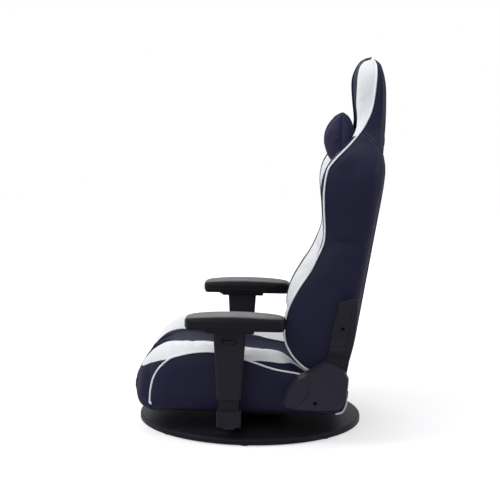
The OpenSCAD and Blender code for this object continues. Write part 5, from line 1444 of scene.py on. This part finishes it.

# %% [markdown]
# ## The cover material
# One material makes the whole cover. Each face carries the number `white`, 1 or 0, so the
# edge between two panels is as sharp as a cut. At a seam the panels roll inwards, and the
# shade in that fold is painted into the colour as a dark line. The grain is a fine synthetic
# leather, and its shine fades where the camera looks along the surface.

# %% Cover leather
NAVY = srgb("#1f1e35")
NAVY_SHADE = srgb("#1a192c")
WHITE_PU = srgb("#e1e2e5")
WHITE_SHADE = srgb("#d7d8dc")
# Painted shade: the dark colour given to the folds along the seams
SEAM_PAINTED_SHADE = srgb("#101019")


def matt_at_a_glance(tree, shader, level):
    """The shine of a grained skin, which fades at a low angle instead of mirroring."""
    shader.inputs["Specular IOR Level"].default_value = level
    facing = node(tree, "ShaderNodeLayerWeight", {"Blend": 0.5}).outputs["Facing"]
    left = arithmetic(tree, "SUBTRACT", 1.0, ramp(tree, facing, 0.5, 0.9))
    tree.links.new(arithmetic(tree, "MULTIPLY", left, level), shader.inputs["Specular IOR Level"])


def cover_leather():
    """Navy and white synthetic leather, told apart by the white attribute."""
    material, tree, shader = new_material("CoverLeather", Roughness=0.5)
    matt_at_a_glance(tree, shader, 0.08)
    is_white = node(tree, "ShaderNodeAttribute", attribute_name="white").outputs["Fac"]
    seam = node(tree, "ShaderNodeAttribute", attribute_name="seam").outputs["Fac"]
    grain = use_group(tree, leather_grain, Size=1.3, Creases=0.35)
    marks = use_group(tree, handling_marks, Cloud_Size=70.0, Scratches=0.0)
    shade = arithmetic(tree, "MULTIPLY_ADD", marks.outputs["Cloud"], 0.9, 0.45)
    navy = mixed_colour(tree, shade, NAVY_SHADE, NAVY)
    pale = mixed_colour(tree, shade, WHITE_SHADE, WHITE_PU)
    colour = mixed_colour(tree, is_white, navy, pale)
    # Painted shade: the colour darkens along every seam for the shade in its fold
    seam_shade = arithmetic(tree, "SUBTRACT", 1.0, ramp(tree, seam, 0.0002, 0.0011))
    colour = mixed_colour(tree, seam_shade, colour, SEAM_PAINTED_SHADE)
    tree.links.new(colour, shader.inputs["Base Color"])
    roughness_of(tree, shader, 0.47, marks.outputs["Cloud"], 0.16)
    groove = ramp(tree, seam, 0.0, 0.0022)
    height = arithmetic(tree, "MULTIPLY_ADD", grain.outputs["Height"], 0.10, groove)
    bumped(tree, shader, height, 0.0008, 0.7)
    return material


cover_material = cover_leather()
print("material", cover_material.name)

# %% [markdown]
# ## The pillow's cloth
# The number `netted` is how far a place lies behind the pillow's seam. Where it is above
# nought, small dimples with painted shade in them stand for the holes of a net.


# %% Pillow cloth
def pillow_cloth():
    """Dark smooth cloth in front of the pillow's seam and a netted cloth behind it, with painted shade in the
    net's holes.
    """
    material, tree, shader = new_material("PillowCloth", Roughness=0.75, Sheen_Weight=0.03,
                                          Sheen_Roughness=0.45)
    matt_at_a_glance(tree, shader, 0.08)
    netted = node(tree, "ShaderNodeAttribute", attribute_name="netted").outputs["Fac"]
    seam = arithmetic(tree, "ABSOLUTE", netted)
    spot = node(tree, "ShaderNodeTexCoord").outputs["Object"]
    holes = node(tree, "ShaderNodeTexVoronoi", {"Scale": 290.0, "Randomness": 0.25}, {"Vector": spot})
    hole = arithmetic(tree, "SUBTRACT", 1.0, ramp(tree, holes.outputs["Distance"], 0.22, 0.36))
    is_net = ramp(tree, netted, -0.0004, 0.0004)
    hole = arithmetic(tree, "MULTIPLY", hole, is_net)
    weave = node(tree, "ShaderNodeTexNoise", {"Scale": 1600.0, "Detail": 2.0}, {"Vector": spot})
    colour = mixed_colour(tree, weave.outputs["Fac"], srgb("#262539"), srgb("#34334e"))
    # Painted shade: the net's holes are coloured near black for the shade inside them
    colour = mixed_colour(tree, hole, colour, srgb("#0a0a10"))
    # Painted shade: the colour darkens along the pillow's seam for the shade in its fold
    seam_shade = arithmetic(tree, "SUBTRACT", 1.0, ramp(tree, seam, 0.0003, 0.0014))
    colour = mixed_colour(tree, seam_shade, colour, SEAM_PAINTED_SHADE)
    tree.links.new(colour, shader.inputs["Base Color"])
    threads = arithmetic(tree, "MULTIPLY", weave.outputs["Fac"], 0.25)
    dips = arithmetic(tree, "MULTIPLY_ADD", hole, -1.0, threads)
    groove = arithmetic(tree, "MULTIPLY", ramp(tree, seam, 0.0, 0.002), 1.5)
    dips = arithmetic(tree, "ADD", dips, groove)
    bumped(tree, shader, dips, 0.0006, 0.7)
    return material


pillow_material = pillow_cloth()
print("material", pillow_material.name)


# %% Piping leather
def piping_leather():
    """White cord cover: smooth, a little glossy, with small cross creases."""
    material, tree, shader = new_material("PipingLeather", Roughness=0.42, Specular_IOR_Level=0.45)
    marks = use_group(tree, handling_marks, Cloud_Size=25.0, Scratches=0.0)
    shade = arithmetic(tree, "MULTIPLY_ADD", marks.outputs["Cloud"], 1.0, 0.55)
    colour = mixed_colour(tree, shade, srgb("#c9c9d2"), srgb("#ebebef"))
    tree.links.new(colour, shader.inputs["Base Color"])
    grain = use_group(tree, leather_grain, Size=1.6, Creases=0.8)
    bumped(tree, shader, grain.outputs["Height"], 0.00012, 0.6)
    return material


piping_material = piping_leather()
print("material", piping_material.name)


# %% Sewing thread
def sewing_thread():
    """Twisted sewing thread, a shade lighter than the navy cover."""
    material, tree, shader = new_material("SewingThread", Roughness=0.6, Sheen_Weight=0.3)
    spot = node(tree, "ShaderNodeTexCoord").outputs["Object"]
    twist = node(tree, "ShaderNodeTexWave", {"Scale": 900.0, "Distortion": 1.5}, {"Vector": spot},
                 bands_direction="DIAGONAL")
    colour = mixed_colour(tree, twist.outputs["Fac"], srgb("#2a2a3c"), srgb("#46465a"))
    tree.links.new(colour, shader.inputs["Base Color"])
    bumped(tree, shader, twist.outputs["Fac"], 0.0001, 0.5)
    return material


thread_material = sewing_thread()
print("material", thread_material.name)

# %% [markdown]
# ## Rigid finishes
# The plastic covers are charcoal with a fine sandy texture. The hinge covers get a lighter
# copy of it, as painted light for the light that their facets catch. The disc is pressed steel
# with a satin black coating that shows a slight orange peel. Frame parts are powder coated,
# and bolts and pivots are bright zinc. The screws, bolts and plates in the list `BLACKENED`
# lie where the photograph shows no bright metal, so they are blackened.


# %% Plastic and steel
def moulded_plastic(name, dark, light, rough, texture=0.55, depth=0.00009):
    """Moulded plastic with sand texture, cloudy gloss and rubbed marks."""
    material, tree, shader = new_material(name, Roughness=rough, Specular_IOR_Level=0.06)
    sand = use_group(tree, moulded_texture, Size=texture)
    marks = use_group(tree, handling_marks, Cloud_Size=60.0, Scratches=0.25)
    shade = arithmetic(tree, "MULTIPLY_ADD", marks.outputs["Cloud"], 0.8, 0.5)
    colour = mixed_colour(tree, shade, srgb(dark), srgb(light))
    colour = mixed_colour(tree, marks.outputs["Scratch"], colour, srgb("#55565c"))
    tree.links.new(colour, shader.inputs["Base Color"])
    roughness_of(tree, shader, rough, marks.outputs["Cloud"], 0.18)
    bumped(tree, shader, sand.outputs["Height"], depth, 0.8)
    return material


def coated_steel(name, dark, light, rough, peel, scratches, level):
    """Painted steel with orange peel and a few scratches."""
    material, tree, shader = new_material(name, Roughness=rough, Specular_IOR_Level=level)
    sand = use_group(tree, moulded_texture, Size=peel)
    marks = use_group(tree, handling_marks, Cloud_Size=120.0, Scratches=scratches)
    shade = arithmetic(tree, "MULTIPLY_ADD", marks.outputs["Cloud"], 0.9, 0.5)
    colour = mixed_colour(tree, shade, srgb(dark), srgb(light))
    colour = mixed_colour(tree, marks.outputs["Scratch"], colour, srgb("#4a4c52"))
    tree.links.new(colour, shader.inputs["Base Color"])
    roughness_of(tree, shader, rough, marks.outputs["Cloud"], 0.14)
    bumped(tree, shader, sand.outputs["Height"], 0.00012, 0.5)
    return material


print("plastic and steel ready")


# %% Zinc, cloth and skin
def zinc_plating():
    """Bright zinc on bolts and bearing plates, cloudy and finely scratched."""
    material, tree, shader = new_material("ZincPlating", Metallic=1.0, Roughness=0.34)
    marks = use_group(tree, handling_marks, Cloud_Size=14.0, Scratches=0.6)
    shade = arithmetic(tree, "MULTIPLY_ADD", marks.outputs["Cloud"], 1.1, 0.5)
    colour = mixed_colour(tree, shade, srgb("#8d9096"), srgb("#c3c5c8"))
    tree.links.new(colour, shader.inputs["Base Color"])
    roughness_of(tree, shader, 0.34, marks.outputs["Cloud"], 0.3)
    bumped(tree, shader, marks.outputs["Scratch"], 0.00005, 0.4)
    return material


def woven(name, dark, light, thread_scale, rough=0.85):
    """Plain woven tape or cloth: two crossing waves that alternate over and under."""
    material, tree, shader = new_material(name, Roughness=rough, Sheen_Weight=0.2, Specular_IOR_Level=0.25)
    spot = node(tree, "ShaderNodeTexCoord").outputs["Object"]
    warp = node(tree, "ShaderNodeTexWave", {"Scale": thread_scale, "Distortion": 0.4}, {"Vector": spot},
                bands_direction="X")
    weft = node(tree, "ShaderNodeTexWave", {"Scale": thread_scale, "Distortion": 0.4}, {"Vector": spot},
                bands_direction="Z")
    weft_y = node(tree, "ShaderNodeTexWave", {"Scale": thread_scale, "Distortion": 0.4}, {"Vector": spot},
                  bands_direction="Y")
    cross = arithmetic(tree, "MULTIPLY", warp.outputs["Fac"],
                       arithmetic(tree, "MAXIMUM", weft.outputs["Fac"], weft_y.outputs["Fac"]))
    tree.links.new(mixed_colour(tree, cross, srgb(dark), srgb(light)), shader.inputs["Base Color"])
    bumped(tree, shader, cross, 0.0003, 0.7)
    return material


def soft_skin():
    """The arm pads' soft black skin: satin, with a fine grain."""
    material, tree, shader = new_material("PadSkin", Roughness=0.4, Specular_IOR_Level=0.08)
    grain = use_group(tree, leather_grain, Size=0.9, Creases=0.2)
    marks = use_group(tree, handling_marks, Cloud_Size=45.0, Scratches=0.1)
    shade = arithmetic(tree, "MULTIPLY_ADD", marks.outputs["Cloud"], 0.8, 0.5)
    tree.links.new(mixed_colour(tree, shade, srgb("#0d0e13"), srgb("#13141a")), shader.inputs["Base Color"])
    roughness_of(tree, shader, 0.36, marks.outputs["Cloud"], 0.16)
    bumped(tree, shader, grain.outputs["Height"], 0.00008, 0.6)
    return material


print("zinc, cloth and skin ready")

# %% [markdown]
# ## Finishes by slot
# The record gives every node a material slot. This table gives every slot its finish.

# %% Finishes by slot
BLACKENED = {"back_cover_screws", "hinge_cover_screws", "bearing_upper_plate", "bearing_lower_plate",
             "arm_bracket_bolts", "hub_bolts"}
rigid_materials = {
    "blackened_steel": coated_steel("BlackenedSteel", "#0c0c0e", "#141416", 0.45, 0.5, 0.2, level=0.1),
    "charcoal_plastic": moulded_plastic("CharcoalPlastic", "#1d1c22", "#26252c", 0.5),
    # Painted light: a lighter copy of the charcoal plastic, for the light that the hinge covers' facets catch
    "painted_light_cover_plastic": moulded_plastic("PaintedLightCoverPlastic", "#27262f", "#312f3b", 0.5),
    "disc_steel": coated_steel("SatinDisc", "#15161b", "#1d1e24", 0.46, 1.6, 0.5, level=0.06),
    "frame_steel": coated_steel("FrameCoating", "#1b1c20", "#27282d", 0.5, 0.9, 0.3, level=0.2),
    "zinc_steel": zinc_plating(),
    "webbing": woven("ElasticWebbing", "#26262b", "#4a4a50", 210.0),
    "under_cloth": woven("UnderCloth", "#121216", "#232328", 320.0),
    "floor_rubber": moulded_plastic("FloorRubber", "#131313", "#1d1d1e", 0.8, 0.9, 0.0002),
    "pad_skin": soft_skin(),
    "white_piping": piping_material,
    "navy_cover": cover_material,
    "pillow_cover": pillow_material,
}


print("finishes", len(rigid_materials))


# %% Dress the soft pieces
def dress(piece, material):
    """Gives a piece one material."""
    piece.data.materials.clear()
    piece.data.materials.append(material)


for piece in (seat_cover, back_cover):
    dress(piece, cover_material)
for piece in pipings:
    dress(piece, piping_material)
for piece in (seat_thread, back_thread):
    dress(piece, thread_material)
dress(pillow, pillow_material)
for piece in arm_pads:
    dress(piece, rigid_materials["pad_skin"])
print("materials", len(bpy.data.materials))

# %% [markdown]
# ## The CAD nodes
# The rigid parts are right as they come, so they only get their slot's finish and a small
# bevel. Real edges are never perfectly sharp, and the bevel catches a thin line of light.

# %% Finish the CAD nodes
SOFT_NODES = {"seat_cushion", "back_cushion", "neck_pillow", "arm_pad_left", "arm_pad_right",
              "seat_piping_left", "seat_piping_right", "back_piping_left", "back_piping_right"}
# The hinge covers get the lighter copy of the charcoal plastic: painted light for the light on their facets
FINISH_OF_NODE = {**{name: "blackened_steel" for name in BLACKENED}, "hinge_cover_left": "painted_light_cover_plastic",
                  "hinge_cover_right": "painted_light_cover_plastic"}
slot_of_node = {entry["node"]: entry["material_slot"] for entry in frame["record"]["subparts"]}
EDGE_WIDTH = {"charcoal_plastic": 0.0008, "disc_steel": 0.0006, "frame_steel": 0.0005, "zinc_steel": 0.0003,
              "floor_rubber": 0.0006}
for node_name, piece in frame["nodes"].items():
    if node_name in SOFT_NODES:
        continue
    slot_name = slot_of_node[node_name]
    dress(piece, rigid_materials[FINISH_OF_NODE.get(node_name, slot_name)])
    if slot_name in EDGE_WIDTH:
        edge = piece.modifiers.new("edge", "BEVEL")
        edge.width = EDGE_WIDTH[slot_name]
        edge.segments = 2
        edge.limit_method = "ANGLE"
        edge.angle_limit = math.radians(38)
        edge.harden_normals = True
print("CAD nodes dressed", len(slot_of_node))

# %% [markdown]
# ## The floor
# The floor is a pale plane that keeps the chair's soft shadow. The rays that show the
# background get some light of its own from it, and more of it far away, so that it
# meets the white background without a line.

# %% Floor
FLOOR_SIZE = 12
FLOOR_GLOW = 0.50
FAR_GLOW = 0.45
GLOW_START = 0.9
GLOW_STOP = 3.0
floor_mesh = bpy.data.meshes.new("Floor")
reach = FLOOR_SIZE/2
floor_corners = [(-reach, -reach, 0), (reach, -reach, 0), (reach, reach, 0), (-reach, reach, 0)]
floor_mesh.from_pydata(floor_corners, [], [(0, 1, 2, 3)])
floor = bpy.data.objects.new("Floor", floor_mesh)
scene.collection.objects.link(floor)
floor_material, floor_tree, floor_shader = new_material("PaleFloor", Roughness=0.7, Specular_IOR_Level=0.1,
                                                        Base_Color=(0.60, 0.60, 0.61, 1))
floor_shader.inputs["Emission Color"].default_value = (1, 1, 1, 1)
floor_place = node(floor_tree, "ShaderNodeTexCoord").outputs["Object"]
floor_reach = node(floor_tree, "ShaderNodeVectorMath", None, {0: floor_place}, operation="LENGTH")
far_share = ramp(floor_tree, floor_reach.outputs["Value"], GLOW_START, GLOW_STOP)
floor_light = arithmetic(floor_tree, "MULTIPLY_ADD", far_share, FAR_GLOW, FLOOR_GLOW)
glow = arithmetic(floor_tree, "MULTIPLY", seen_ray(floor_tree), floor_light)
floor_tree.links.new(glow, floor_shader.inputs["Emission Strength"])
dress(floor, floor_material)
print("floor", FLOOR_SIZE, "m")
